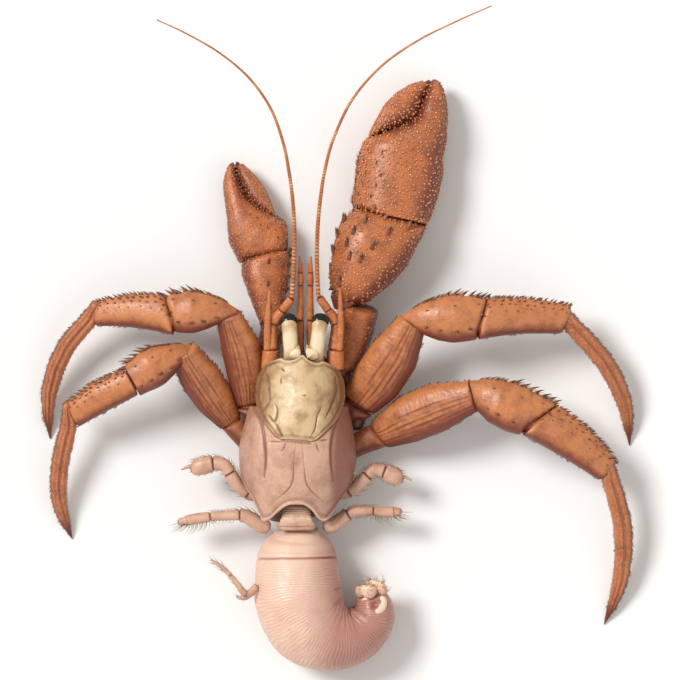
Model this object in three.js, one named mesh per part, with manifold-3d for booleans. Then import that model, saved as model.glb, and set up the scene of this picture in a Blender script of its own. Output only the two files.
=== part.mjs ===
// Common hermit crab (Pagurus bernhardus) out of its shell, as a still, life-size display model.
// Lengths are millimetres. +X is the animal's right (the side of the big claw), +Y is forward,
// +Z is up, and the model lies on the plane z = 0.
import * as THREE from "three";
import { mergeVertices } from "three/addons/utils/BufferGeometryUtils.js";
import Module from "manifold-3d";

const wasm = await Module();
wasm.setup();

// ---------------------------------------------------------------- driving sizes
const GAP = 0.3; // clearance between two neighbouring pieces
const FLOOR_REACH = 400; // side of the block that trims every foot level with the floor
const JOINT_OVERRUN = 4; // how far pieces run past a joint before they are cut off at it
const KNEE_OVERRUN = 1.2; // how far a leg's merus runs on beside the root of its carpus

// Head and thorax.
const CARAPACE_FRONT_Y = -2.6;
const CARAPACE_BACK_Y = -40.9;
const CARAPACE_HEM_Z = 10.4; // lower edge of the carapace, over the leg bases
const SHIELD_HEM_Z = 12.6; // lower edge of the hard front shield
const SHELL_SIDE = 1.9; // thickness of the carapace at its sides
const SHELL_TOP = 1.7; // thickness of the carapace on the back
const STERNUM_Z = 3.8; // flat underside of the thorax
const SHIELD_PIVOT_Y = -12.3; // the shield leans about its widest place
const SHIELD_LEAN = THREE.MathUtils.degToRad(-4.2);

// A station of a limb or body is [x, y, z, width, height]: the place of the middle of one
// section, how wide it is across the direction of travel, and how tall.
const CARAPACE_STATIONS = [
  [0.5, CARAPACE_FRONT_Y, CARAPACE_HEM_Z, 18.0, 20.0],
  [0.2, -8.2, CARAPACE_HEM_Z, 19.4, 24.0],
  [0.0, -13.8, CARAPACE_HEM_Z, 21.2, 26.6],
  [-0.2, -19.2, CARAPACE_HEM_Z, 24.4, 27.4],
  [-0.4, -24.7, CARAPACE_HEM_Z, 26.2, 27.0],
  [-0.5, -30.1, CARAPACE_HEM_Z, 25.6, 24.4],
  [-0.7, -35.5, CARAPACE_HEM_Z, 21.8, 19.4],
  [-0.9, CARAPACE_BACK_Y, CARAPACE_HEM_Z, 16.4, 14.0],
];

// Half outline of the shield from above, from the rostrum back: [distance from midline, y].
const SHIELD_HALF = [
  [0, -2.9],
  [1.2, -4.5],
  [3.6, -5.0],
  [6.2, -4.9],
  [8.4, -6.1],
  [9.5, -9.0],
  [10.1, -12.6],
  [9.4, -16.0],
  [6.6, -19.9],
  [3.5, -22.7],
];

// Half outline of the rear carapace from above: [distance from midline, y].
const REAR_HALF = [
  [3.0, -14.9],
  [10.6, -14.9],
  [14.5, -20.0],
  [14.5, -34.0],
  [9.4, -40.2],
  [7.4, -40.4],
  [5.0, -38.2],
  [2.4, -36.8],
];

// Eyes and feelers, given for each side because the head is drawn slightly to its right.
const HEAD = {
  left: {
    eyeBase: [-1.8, -5.3, 16.9],
    eyeTip: [-2.5, 4.6, 17.7],
    antennuleX: 0.1,
    peduncle: [
      [-6.6, -4.5, 14.2, 3.4, 3.4],
      [-6.6, -2.4, 14.4, 3.4, 3.2],
      [-6.3, 3.2, 15.0, 2.6, 2.4],
      [-3.9, 6.6, 16.2, 1.9, 1.9],
      [-1.8, 9.3, 17.3, 1.8, 1.8],
    ],
    acicle: [
      [-7.4, -2.6, 15.6, 1.6, 1.2],
      [-7.3, 4.0, 16.6, 1.4, 1.1],
      [-6.8, 11.6, 17.8, 0.6, 0.6],
    ],
    flagellumNear: [
      [-1.8, 9.6, 17.5],
      [-1.4, 19.0, 20.6],
      [-1.6, 29.5, 23.8],
      [-2.8, 39.8, 26.6],
    ],
    flagellumFar: [
      [-2.85, 40.2, 26.7],
      [-5.3, 49.6, 29.0],
      [-11.1, 58.6, 31.0],
      [-20.6, 66.1, 32.6],
      [-31.9, 71.6, 33.8],
    ],
  },
  right: {
    eyeBase: [3.2, -5.3, 16.9],
    eyeTip: [4.4, 4.6, 17.7],
    antennuleX: 2.2,
    peduncle: [
      [7.7, -4.9, 14.2, 3.4, 3.4],
      [7.9, -2.4, 14.4, 3.4, 3.2],
      [8.2, 3.2, 15.0, 2.6, 2.4],
      [6.2, 6.8, 16.2, 1.9, 1.9],
      [4.3, 9.5, 17.3, 1.8, 1.8],
    ],
    acicle: [
      [8.7, -2.6, 15.6, 1.6, 1.2],
      [9.1, 4.0, 16.6, 1.4, 1.1],
      [8.9, 12.0, 17.8, 0.6, 0.6],
    ],
    flagellumNear: [
      [4.2, 9.8, 17.5],
      [3.8, 19.0, 20.6],
      [4.3, 29.5, 23.8],
      [5.9, 39.8, 26.6],
    ],
    flagellumFar: [
      [6.0, 40.2, 26.7],
      [9.2, 49.4, 29.0],
      [15.6, 58.8, 31.0],
      [26.2, 66.9, 32.8],
      [43.0, 74.7, 34.2],
    ],
  },
};
const CORNEA_LENGTH = 1.9;
const EYESTALK_WIDTH = 3.5;
const ANTENNULE_WIDTH = 1.4;

// Claws: every piece by its stations. The palm carries the outer, fixed finger. Two pieces that
// meet face to face are cut off upright through `place`, along the direction `turn`, which is in
// degrees from +X towards +Y.
const CLAWS = {
  right: {
    hip: [
      [6.4, -9.6, 5.8, 5.0, 5.0],
      [9.6, -7.7, 5.6, 5.6, 5.2],
    ],
    merus: [
      [10.3, -6.8, 5.6, 6.4, 5.6],
      [11.9, -0.4, 6.4, 8.2, 7.4],
      [13.6, 7.2, 8.2, 9.0, 9.0],
    ],
    carpus: [
      [13.0, 8.4, 8.8, 7.8, 8.6],
      [12.8, 12.2, 9.0, 12.2, 12.4],
      [16.2, 20.2, 8.8, 17.0, 15.0],
      [19.8, 27.9, 8.0, 17.6, 14.2],
    ],
    palm: [
      [20.0, 27.9, 7.6, 17.2, 13.8],
      [21.8, 34.2, 7.2, 18.8, 14.6],
      [22.9, 40.6, 6.8, 19.0, 14.2],
      [23.6, 47.0, 6.5, 16.6, 12.6],
    ],
    fixedFinger: [
      [26.9, 41.0, 6.5, 10.8, 11.6],
      [28.9, 48.4, 6.3, 9.2, 10.6],
      [30.4, 54.4, 6.1, 5.6, 8.0],
      [30.5, 59.0, 6.0, 1.6, 3.2],
    ],
    movingFinger: [
      [20.6, 46.6, 7.0, 8.6, 10.4],
      [22.9, 51.4, 6.8, 8.2, 9.8],
      [25.8, 55.4, 6.4, 5.2, 7.4],
      [28.9, 58.0, 6.0, 1.6, 3.0],
    ],
    wrist: { place: [19.95, 27.95], turn: 166 },
    knuckle: { place: [21.2, 47.85], turn: 19.9 },
  },
  left: {
    hip: [
      [-5.8, -9.8, 5.6, 4.6, 4.6],
      [-7.6, -8.1, 5.6, 4.6, 4.4],
    ],
    merus: [
      [-8.1, -6.7, 5.6, 4.6, 4.6],
      [-7.3, -2.4, 6.2, 5.2, 5.2],
      [-6.4, 2.4, 7.2, 5.0, 5.4],
    ],
    carpus: [
      [-6.2, 3.2, 7.4, 4.6, 5.2],
      [-6.9, 8.4, 7.2, 7.2, 7.6],
      [-7.6, 13.6, 6.6, 9.8, 9.0],
      [-8.2, 18.9, 6.0, 11.8, 9.2],
    ],
    palm: [
      [-8.2, 18.9, 5.6, 11.0, 9.2],
      [-9.3, 23.6, 5.0, 13.5, 10.2],
      [-10.5, 27.8, 4.8, 12.0, 9.8],
      [-11.6, 31.6, 4.7, 9.0, 8.8],
    ],
    fixedFinger: [
      [-12.2, 26.0, 4.8, 7.6, 8.4],
      [-14.0, 31.6, 4.6, 5.8, 7.6],
      [-15.3, 36.6, 4.5, 3.7, 5.4],
      [-15.2, 40.2, 4.4, 1.2, 2.2],
    ],
    movingFinger: [
      [-7.9, 28.6, 5.0, 4.2, 7.0],
      [-9.8, 33.2, 4.8, 4.5, 6.4],
      [-12.1, 37.0, 4.6, 3.4, 4.8],
      [-13.9, 40.0, 4.4, 1.2, 2.2],
    ],
    wrist: { place: [-8.2, 18.9], turn: 15.1 },
    knuckle: { place: [-7.5, 29.2], turn: 151 },
  },
};

// Walking legs: the joints from the body outwards, how far each piece bows at its middle, and
// its widths at even steps from start to end. The carpus starts at the fore corner of the
// merus, at `knee`. The dactyl also passes through two bends. `cuts` are the directions in
// which the ischium, the wrist and the ankle are cut off from above.
const LEGS = {
  leg2_left: {
    hip: [-8.4, -17.2, 6.4],
    joints: [[-11.6, -14.8, 6.6], [-15.7, 4.8, 15.2], [-29.2, 5.7, 15.6], [-46.1, 5.8, 11.4]],
    knee: [-13.7, 6.3, 15.2],
    bows: [[1.2, 0.2, 0], [0, 0.5, 1.0], [0, 0.9, 0.4]],
    widths: [[5.2, 8.4, 8.6, 5.8], [1.0, 6.1, 9.2, 8.0], [8.3, 7.7, 6.8, 5.0]],
    cuts: [12, 105, 97],
    bends: [[-52.6, -1.2, 8.4], [-56.75, -12.4, 4.0]],
    tip: [-56.4, -22.2, 0.2],
    dactylWidth: 4.2,
  },
  leg3_left: {
    hip: [-9.2, -24.6, 6.4],
    joints: [[-15.4, -18.9, 6.6], [-25.8, -3.3, 14.4], [-37.6, -9.3, 15.0], [-51.3, -17.0, 10.8]],
    knee: [-23.8, -1.3, 14.4],
    bows: [[-0.25, 0.4, -0.6], [0.1, 0.4, 1.0], [-0.2, 0.5, 0.4]],
    widths: [[4.8, 8.5, 8.9, 6.8], [1.0, 5.6, 8.9, 6.9], [6.3, 7.0, 6.6, 5.7]],
    cuts: [26, 119, 119],
    bends: [[-54.0, -27.6, 7.4], [-54.2, -37.0, 3.6]],
    tip: [-51.3, -45.1, 0.2],
    dactylWidth: 4.0,
  },
  leg2_right: {
    hip: [8.8, -16.6, 6.4],
    joints: [[13.0, -14.6, 6.8], [25.0, 3.4, 15.8], [41.1, 4.9, 16.4], [60.0, 4.7, 12.0]],
    knee: [22.6, 4.9, 15.8],
    bows: [[0.6, -0.5, 0], [0, -0.1, 1.0], [0, 0.7, 0.4]],
    widths: [[7.8, 11.1, 10.9, 6.8], [1.0, 7.8, 10.7, 8.8], [8.9, 8.1, 7.5, 6.4]],
    cuts: [146, 76, 68],
    bends: [[68.5, -4.4, 8.6], [73.4, -14.2, 4.2]],
    tip: [74.6, -23.7, 0.2],
    dactylWidth: 4.2,
  },
  leg3_right: {
    hip: [9.8, -25.0, 6.4],
    joints: [[17.8, -21.3, 7.0], [38.4, -12.7, 15.2], [53.8, -17.8, 15.6], [69.3, -29.5, 11.4]],
    knee: [37.5, -9.7, 15.2],
    bows: [[-0.2, 0.7, 0], [-0.2, -0.4, 1.0], [0.5, 0.7, 0.4]],
    widths: [[6.6, 10.6, 10.9, 7.2], [1.6, 9.0, 10.5, 9.4], [9.4, 9.1, 7.9, 5.4]],
    cuts: [129, 39, 43],
    bends: [[72.8, -41.2, 8.0], [72.4, -54.2, 3.8]],
    tip: [68.7, -64.4, 0.2],
    dactylWidth: 4.2,
  },
};
const FORWARD_EDGE = { left: 0, right: 180 }; // degrees round a leg's section, for its spines
const LEG_FLATNESS = 0.66; // height of a walking leg over its width
const HIP_WIDTH = 5.2;
const DACTYL_FLATNESS = 0.8;
const DACTYL_TIP_WIDTH = 1.1;
const LEG_SPINE = 1.7; // length of the spines near the wrist of each walking leg
const CLAW_SPINE = 2.4; // length of the spines on the inner edge of the big wrist
const SPINE_SEAT = 0.94; // how far out a spine is rooted, as a share of the section's radius

// The two pairs of short legs behind, which grip the inside of the shell.
const SMALL_LEGS = {
  leg4_left: [
    [-7.6, -34.6, 7.4, 3.4, 3.4],
    [-12.2, -34.4, 9.0, 3.0, 3.0],
    [-15.0, -31.2, 9.8, 3.2, 3.0],
    [-16.9, -27.9, 10.2, 3.2, 3.0],
    [-20.4, -27.7, 10.2, 3.6, 3.0],
    [-23.8, -28.9, 9.9, 3.4, 2.6],
    [-26.7, -28.8, 9.6, 1.0, 1.0],
  ],
  leg4_right: [
    [7.6, -34.6, 7.4, 3.4, 3.4],
    [11.8, -33.8, 9.0, 3.0, 3.0],
    [14.3, -31.6, 9.8, 3.2, 3.0],
    [16.8, -28.9, 10.2, 3.2, 3.0],
    [20.0, -29.9, 10.2, 3.6, 3.0],
    [22.9, -31.3, 9.9, 3.4, 2.6],
    [25.3, -30.9, 9.6, 1.0, 1.0],
  ],
  leg5_left: [
    [-6.6, -42.2, 8.6, 3.0, 3.0],
    [-9.2, -41.5, 9.4, 3.3, 3.0],
    [-11.6, -39.6, 9.8, 3.2, 2.8],
    [-14.4, -39.3, 10.0, 2.4, 2.4],
    [-20.6, -39.7, 9.8, 2.2, 2.2],
    [-24.4, -40.3, 9.6, 2.6, 2.2],
    [-27.5, -41.0, 9.4, 1.2, 1.2],
  ],
  leg5_right: [
    [5.2, -42.2, 8.6, 3.0, 3.0],
    [7.8, -41.6, 9.2, 3.2, 2.8],
    [10.4, -39.4, 9.6, 3.0, 2.6],
    [13.2, -38.3, 10.0, 2.4, 2.4],
    [17.0, -38.4, 9.8, 2.2, 2.2],
    [20.2, -38.6, 9.6, 2.6, 2.2],
    [23.1, -38.4, 9.4, 1.2, 1.2],
  ],
};

// The soft abdomen runs back from the waist, turns to the animal's right and curls forward.
const ABDOMEN_STATIONS = [
  [-0.6, -42.6, 9.4, 9.8, 9.6],
  [-0.6, -45.6, 8.9, 15.6, 14.4],
  [-0.6, -49.2, 8.6, 18.2, 17.0],
  [-0.4, -53.6, 8.7, 19.2, 17.8],
  [0.1, -58.6, 8.7, 20.6, 17.8],
  [2.8, -63.7, 8.5, 20.2, 17.2],
  [7.8, -66.5, 8.0, 16.6, 16.4],
  [12.8, -66.0, 7.4, 12.9, 15.0],
  [16.4, -62.4, 7.4, 10.2, 12.6],
  [16.5, -58.4, 8.0, 7.4, 9.4],
];
const ABDOMEN_CUTS = [0, 0.215, 0.52, 1]; // where it divides, as shares of its length
const TERGITE = [
  [-0.7, -37.4, 13.4, 6.4, 3.0],
  [-0.6, -40.2, 13.2, 7.6, 3.2],
  [-0.6, -43.0, 14.4, 8.4, 2.2],
];

// ---------------------------------------------------------------- materials
function material(colour, roughness) {
  return () => new THREE.MeshStandardMaterial({ color: colour, roughness, metalness: 0 });
}
const shellRed = material(0xb4623a, 0.45);
const shellPale = material(0xc9a878, 0.5);
const shellSoft = material(0xd3a893, 0.5);
const flesh = material(0xdcae98, 0.42);
const horn = material(0x8a4a2e, 0.4);
const cornea = material(0x14180f, 0.15);
const feeler = material(0xb5532c, 0.45);

// ---------------------------------------------------------------- shaping tools
// The value at u (0 to 1) on a smooth line through evenly spaced values.
function smoothValue(values, u) {
  return new THREE.SplineCurve(values.map((v) => new THREE.Vector2(v, 0))).getPoint(u).x;
}

function solidFrom(geometry) {
  geometry.deleteAttribute("normal");
  geometry.deleteAttribute("uv");
  const merged = mergeVertices(geometry, 1e-4);
  const vertProperties = merged.attributes.position.array;
  const triVerts = new Uint32Array(merged.index.array);
  return new wasm.Manifold(new wasm.Mesh({ numProp: 3, vertProperties, triVerts }));
}

// Turned profile of a unit barrel: radius against the share of its length, with each end
// rounded over the given share.
function barrelProfile(capStart, capEnd, bands) {
  const profile = [new THREE.Vector2(0, 0), new THREE.Vector2(0.72, 0.3 * capStart)];
  for (let i = 0; i <= bands; i++) {
    profile.push(new THREE.Vector2(1, capStart + (i / bands) * (1 - capStart - capEnd)));
  }
  profile.push(new THREE.Vector2(0.72, 1 - 0.3 * capEnd), new THREE.Vector2(0, 1));
  return profile;
}

// Reads the smooth line through the stations: its length, and the section at u (0 to 1).
function sectionsOf(stations) {
  const line = new THREE.CatmullRomCurve3(stations.map(([x, y, z]) => new THREE.Vector3(x, y, z)));
  const widths = stations.map((station) => station[3]);
  const heights = stations.map((station) => station[4]);
  const up = new THREE.Vector3(0, 0, 1);
  const at = (u) => {
    const along = line.getTangent(u);
    const side = new THREE.Vector3().crossVectors(along, up).normalize();
    const lift = new THREE.Vector3().crossVectors(side, along);
    const halfWidth = smoothValue(widths, u) / 2;
    const halfHeight = smoothValue(heights, u) / 2;
    return { place: line.getPoint(u), along, side, lift, halfWidth, halfHeight };
  };
  return { length: line.getLength(), at };
}

// A closed body whose sections follow the stations. `caps` are the rounded lengths of its
// two ends, `range` the share of the line it covers.
function loft(stations, { sides = 10, bands = 5, caps = [1, 1], range = [0, 1] } = {}) {
  const sections = sectionsOf(stations);
  const span = range[1] - range[0];
  const length = sections.length * span;
  const profile = barrelProfile(caps[0] / length, caps[1] / length, bands);
  const geometry = new THREE.LatheGeometry(profile, sides);
  const position = geometry.attributes.position;
  for (let i = 0; i < position.count; i++) {
    const section = sections.at(range[0] + position.getY(i) * span);
    const point = section.place;
    point.addScaledVector(section.side, position.getX(i) * section.halfWidth);
    point.addScaledVector(section.lift, position.getZ(i) * section.halfHeight);
    position.setXYZ(i, point.x, point.y, point.z);
  }
  return solidFrom(geometry);
}

// The same stations, every section wider and taller by twice the given amounts.
function grown(stations, aside, above = aside) {
  return stations.map(([x, y, z, w, h]) => [x, y, z, w + 2 * aside, h + 2 * above]);
}

// The same stations with both ends of the line carried on by the given distance.
function lengthened(stations, by) {
  const carry = (end, next) => {
    const from = new THREE.Vector3(...end.slice(0, 3));
    const step = from.clone().sub(new THREE.Vector3(...next.slice(0, 3))).setLength(by);
    return [...from.add(step).toArray(), end[3], end[4]];
  };
  const last = stations.length - 1;
  return [
    carry(stations[0], stations[1]),
    ...stations.slice(1, last),
    carry(stations[last], stations[last - 1]),
  ];
}

// The same stations with one more beyond each end, at the given distances (0 adds none).
function carriedOn(stations, before, after) {
  const beyond = (end, next, by) => {
    const from = new THREE.Vector3(...end.slice(0, 3));
    const step = from.clone().sub(new THREE.Vector3(...next.slice(0, 3))).setLength(by);
    return by > 0 ? [[...from.add(step).toArray(), end[3], end[4]]] : [];
  };
  const [last, inner] = [stations.at(-1), stations.at(-2)];
  return [...beyond(stations[0], stations[1], before), ...stations, ...beyond(last, inner, after)];
}

// A piece cut off upright at a joint, clear of it by half the gap. The side on which the
// station `kept` lies remains.
function cutOff(solid, { place, turn }, kept, clearance = GAP / 2) {
  const angle = THREE.MathUtils.degToRad(turn);
  const normal = new THREE.Vector2(-Math.sin(angle), Math.cos(angle));
  const start = new THREE.Vector2(place[0], place[1]);
  if (normal.dot(new THREE.Vector2(kept[0], kept[1]).sub(start)) < 0) normal.negate();
  return solid.trimByPlane([normal.x, normal.y, 0], normal.dot(start) + clearance);
}

// An upright block with the given outline, from z = bottom upwards.
function upright(outline, bottom, height = 60) {
  const shape = new THREE.Shape(outline.map(([x, y]) => new THREE.Vector2(x, y)));
  const geometry = new THREE.ExtrudeGeometry(shape, { depth: height, bevelEnabled: false });
  return solidFrom(geometry.translate(0, 0, bottom));
}

// A closed outline from its right half, mirrored over the midline at x = middle.
function mirrored(half, middle) {
  const right = half.map(([x, y]) => [middle + x, y]).reverse();
  const left = half.filter(([x]) => x > 0).map(([x, y]) => [middle - x, y]);
  return [...right, ...left];
}

// A piece with a row of spines leaning towards its far end. `turn` is the row's place round
// the section, in degrees up from the right side, and `reach` the share of the line it covers.
function withSpines(solid, stations, { count, turn, length, reach }) {
  const sections = sectionsOf(stations);
  const angle = THREE.MathUtils.degToRad(turn);
  for (let i = 0; i < count; i++) {
    const u = THREE.MathUtils.lerp(reach[0], reach[1], i / (count - 1));
    const { place, along, side, lift, halfWidth, halfHeight } = sections.at(u);
    const outwards = side.multiplyScalar(Math.cos(angle)).addScaledVector(lift, Math.sin(angle));
    const radius = Math.hypot(halfWidth * Math.cos(angle), halfHeight * Math.sin(angle));
    place.addScaledVector(outwards, radius * SPINE_SEAT);
    const direction = outwards.add(along).normalize();
    const cone = new THREE.ConeGeometry(length * 0.3, length, 5).translate(0, length * 0.35, 0);
    cone.applyQuaternion(
      new THREE.Quaternion().setFromUnitVectors(new THREE.Vector3(0, 1, 0), direction),
    );
    solid = solid.add(solidFrom(cone.translate(place.x, place.y, place.z)));
  }
  return solid;
}

const floorBlock = solidFrom(
  new THREE.BoxGeometry(FLOOR_REACH, FLOOR_REACH, 20).translate(0, 0, -10),
);

// ---------------------------------------------------------------- assembling
const crab = new THREE.Group();

function addPiece(name, solid, newMaterial) {
  const { vertProperties, triVerts } = solid.subtract(floorBlock).getMesh();
  const geometry = new THREE.BufferGeometry();
  geometry.setAttribute("position", new THREE.BufferAttribute(new Float32Array(vertProperties), 3));
  geometry.setIndex(new THREE.BufferAttribute(new Uint32Array(triVerts), 1));
  geometry.computeVertexNormals();
  const mesh = new THREE.Mesh(geometry, newMaterial());
  mesh.name = name;
  crab.add(mesh);
}

// ---------------------------------------------------------------- head and thorax
function leaned([x, y]) {
  const offset = new THREE.Vector2(x, y - SHIELD_PIVOT_Y);
  offset.rotateAround(new THREE.Vector2(0, 0), SHIELD_LEAN);
  return [offset.x, offset.y + SHIELD_PIVOT_Y];
}

function addCarapace() {
  const options = { sides: 20, bands: 8, caps: [0.6, 0.6] };
  const outside = loft(CARAPACE_STATIONS, options);
  const hollow = loft(
    lengthened(grown(CARAPACE_STATIONS, -SHELL_SIDE, -SHELL_TOP), 4),
    { ...options, caps: [0.2, 0.2] },
  );
  const shell = outside.subtract(hollow);
  const shieldOutline = mirrored(SHIELD_HALF, 0).map(leaned);
  const shieldMargin = mirrored(
    SHIELD_HALF.map(([x, y]) => [x === 0 ? 0 : x + GAP, y - GAP]),
    0,
  ).map(leaned);
  addPiece("carapace_shield", shell.intersect(upright(shieldOutline, SHIELD_HEM_Z)), shellPale);
  const rear = shell
    .intersect(upright(mirrored(REAR_HALF, -0.8), CARAPACE_HEM_Z))
    .subtract(upright(shieldMargin, 0));
  addPiece("carapace_rear", rear, shellSoft);
}

function thoraxBody(margin) {
  const inset = 0.1 + GAP - margin;
  const stations = grown(CARAPACE_STATIONS, -SHELL_SIDE - inset, -SHELL_TOP - inset);
  const rim = mirrored([[0, 10], [30, 10], [30, -60]], 0);
  const underside = upright(rim, STERNUM_Z - margin - 60);
  const body = loft(stations, { sides: 16, bands: 7, caps: [2, 2], range: [0.07, 0.97] });
  return body.subtract(underside);
}

// ---------------------------------------------------------------- eyes and feelers
function towards(from, to, distance) {
  const start = new THREE.Vector3(...from);
  return start.addScaledVector(new THREE.Vector3(...to).sub(start).normalize(), distance).toArray();
}

function addEye(side, { eyeBase, eyeTip }) {
  const waist = EYESTALK_WIDTH * 0.84;
  const middle = towards(eyeBase, eyeTip, 5);
  const stalk = [
    [...eyeBase, EYESTALK_WIDTH, EYESTALK_WIDTH * 0.8],
    [...middle, waist, waist],
    [...eyeTip, EYESTALK_WIDTH, EYESTALK_WIDTH],
  ];
  addPiece("eyestalk_" + side, loft(stalk, { bands: 3, caps: [0.4, 0.2] }), shellPale);
  const capStart = towards(eyeTip, eyeBase, -GAP);
  const capEnd = towards(eyeTip, eyeBase, -CORNEA_LENGTH);
  const cap = [
    [...capStart, EYESTALK_WIDTH, EYESTALK_WIDTH],
    [...capEnd, EYESTALK_WIDTH * 0.7, EYESTALK_WIDTH * 0.7],
  ];
  addPiece("eye_" + side, loft(cap, { bands: 1, caps: [0.1, 1.1] }), cornea);
}

function addAntennule(side, { antennuleX }) {
  const w = ANTENNULE_WIDTH;
  const stations = [
    [antennuleX, -4.6, 13.2, w * 1.3, w * 1.3],
    [antennuleX, 0.0, 13.4, w, w],
    [antennuleX, 4.5, 13.8, w * 1.1, w * 1.1],
    [antennuleX, 9.0, 15.0, w * 0.8, w * 0.8],
    [antennuleX, 12.8, 16.4, w * 0.9, w],
    [antennuleX, 18.9, 19.4, 0.6, 0.8],
  ];
  addPiece("antennule_" + side, loft(stations, { sides: 6, bands: 6, caps: [0.3, 0.3] }), feeler);
}

function feelerLength(points, startWidth, endWidth) {
  const stations = points.map((point, i) => {
    const width = THREE.MathUtils.lerp(startWidth, endWidth, i / (points.length - 1));
    return [...point, width, width];
  });
  return loft(stations, { sides: 5, bands: 2 * points.length, caps: [0.1, 0.3] });
}

function addAntenna(side, { peduncle, acicle, flagellumNear, flagellumFar }) {
  const base = loft(peduncle, { sides: 7, bands: 7, caps: [0.5, 0.1] });
  const scale = loft(acicle, { sides: 5, bands: 3, caps: [0.3, 0.2] });
  addPiece("antenna_base_" + side, base.add(scale), shellRed);
  addPiece("antenna_near_" + side, feelerLength(flagellumNear, 1.4, 1.1), feeler);
  addPiece("antenna_far_" + side, feelerLength(flagellumFar, 1.1, 0.6), feeler);
}

function addMaxilliped(side, sign, body) {
  const stations = [
    [sign * 3.0 + 0.8, -6.0, 7.6, 3.0, 3.0],
    [sign * 3.0 + 0.8, -1.2, 8.8, 2.6, 3.0],
    [sign * 2.6 + 0.8, 2.6, 8.0, 2.2, 2.6],
    [sign * 2.2 + 0.8, 4.2, 5.0, 1.8, 2.0],
    [sign * 2.0 + 0.8, 2.8, 3.0, 0.9, 0.9],
  ];
  const limb = loft(stations, { sides: 6, bands: 6, caps: [0.4, 0.4] });
  addPiece("maxilliped_" + side, limb.subtract(body), shellRed);
}

// ---------------------------------------------------------------- claws
function addClaw(side, sizes, body) {
  const { hip, merus, carpus, palm, fixedFinger, movingFinger, wrist, knuckle } = sizes;
  const hipPiece = loft(hip, { sides: 8, bands: 2, caps: [0.6, 0.8] });
  addPiece("claw_hip_" + side, hipPiece.subtract(body), shellRed);
  addPiece("claw_merus_" + side, loft(merus, { bands: 3, caps: [1.2, 0.3] }), shellRed);
  const forearm = carriedOn(carpus, 0, JOINT_OVERRUN);
  const innerRow = { count: 4, turn: 165, length: CLAW_SPINE, reach: [0.28, 0.66] };
  const smooth = loft(forearm, { sides: 12, bands: 6, caps: [1.0, 0.3] });
  const spiny = side === "right" ? withSpines(smooth, forearm, innerRow) : smooth;
  addPiece("claw_carpus_" + side, cutOff(spiny, wrist, carpus[1]), shellRed);
  // The moving finger, or the room that it needs in the palm and beside the fixed finger.
  const finger = (margin) => {
    const stations = carriedOn(grown(movingFinger, margin), JOINT_OVERRUN, 0);
    const whole = loft(stations, { sides: 10, bands: 6, caps: [0.3, 0.6] });
    return cutOff(whole, knuckle, movingFinger[2], GAP / 2 - margin);
  };
  const longPalm = carriedOn(palm, JOINT_OVERRUN, JOINT_OVERRUN);
  const hand = loft(longPalm, { sides: 12, bands: 7, caps: [0.3, 0.3] });
  const squared = cutOff(cutOff(hand, wrist, palm[1]), knuckle, palm[1]);
  const fixed = loft(fixedFinger, { sides: 10, bands: 5, caps: [1, 0.6] });
  addPiece("claw_palm_" + side, squared.add(fixed).subtract(finger(GAP + 0.1)), shellRed);
  addPiece("claw_finger_" + side, finger(0), shellRed);
}

// ---------------------------------------------------------------- walking legs
// The stations of a leg piece between two joints, with clearance kept at both of them.
function legPiece(from, to, bow, widths, flatness) {
  const start = towards(from, to, GAP / 2);
  const end = towards(to, from, GAP / 2);
  return widths.map((width, i) => {
    const u = i / (widths.length - 1);
    const place = start.map((value, axis) => {
      return THREE.MathUtils.lerp(value, end[axis], u) + bow[axis] * 4 * u * (1 - u);
    });
    return [...place, width, width * flatness];
  });
}

function addLeg(name, sizes, body) {
  const { hip, joints, knee, bows, widths, cuts, bends, tip, dactylWidth } = sizes;
  const [ischium, , , ankle] = joints;
  const cutAt = cuts.map((turn, i) => ({ place: joints[[0, 2, 3][i]], turn }));
  const hipWidths = [HIP_WIDTH, HIP_WIDTH, widths[0][0] * 0.9];
  const hipStations = legPiece(hip, ischium, [0, 0, 0], hipWidths, 0.95);
  const [merus, carpus, propodus] = widths.map((sizesAt, i) => {
    return legPiece(i === 1 ? knee : joints[i], joints[i + 1], bows[i], sizesAt, LEG_FLATNESS);
  });
  const hipPiece = loft(carriedOn(hipStations, 0, 2), { sides: 8, bands: 4, caps: [0.6, 0.2] });
  addPiece(name + "_hip", cutOff(hipPiece.subtract(body), cutAt[0], hip), shellRed);

  const wrist = (margin) => {
    const stations = carriedOn(grown(carpus, margin), 0, JOINT_OVERRUN);
    return loft(stations, { sides: 8, bands: 6, caps: [0.6 - margin, 0.2] });
  };
  const thighStations = carriedOn(merus, JOINT_OVERRUN, KNEE_OVERRUN);
  const thigh = loft(thighStations, { sides: 8, bands: 5, caps: [0.2, 0.5] });
  addPiece(name + "_merus", cutOff(thigh.subtract(wrist(GAP / 2)), cutAt[0], merus[2]), shellRed);
  const turn = FORWARD_EDGE[name.split("_")[1]];
  const row = { count: 3, turn, length: LEG_SPINE, reach: [0.4, 0.64] };
  const spiny = withSpines(wrist(0), carriedOn(carpus, 0, JOINT_OVERRUN), row);
  addPiece(name + "_carpus", cutOff(spiny, cutAt[1], carpus[1]), shellRed);
  const shinStations = carriedOn(propodus, JOINT_OVERRUN, JOINT_OVERRUN);
  const shin = loft(shinStations, { sides: 8, bands: 6, caps: [0.2, 0.2] });
  addPiece(
    name + "_propodus",
    cutOff(cutOff(shin, cutAt[1], propodus[1]), cutAt[2], propodus[1]),
    shellRed,
  );

  const dactylWidths = [dactylWidth * 0.9, dactylWidth, dactylWidth * 0.86, DACTYL_TIP_WIDTH];
  const dactyl = [ankle, ...bends, tip].map((place, i) => [
    ...place,
    dactylWidths[i],
    dactylWidths[i] * DACTYL_FLATNESS,
  ]);
  const claw = loft(carriedOn(dactyl, 2, 0), { sides: 8, bands: 8, caps: [0.2, 0.4] });
  addPiece(name + "_dactyl", cutOff(claw, cutAt[2], bends[0]), horn);
}

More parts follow.
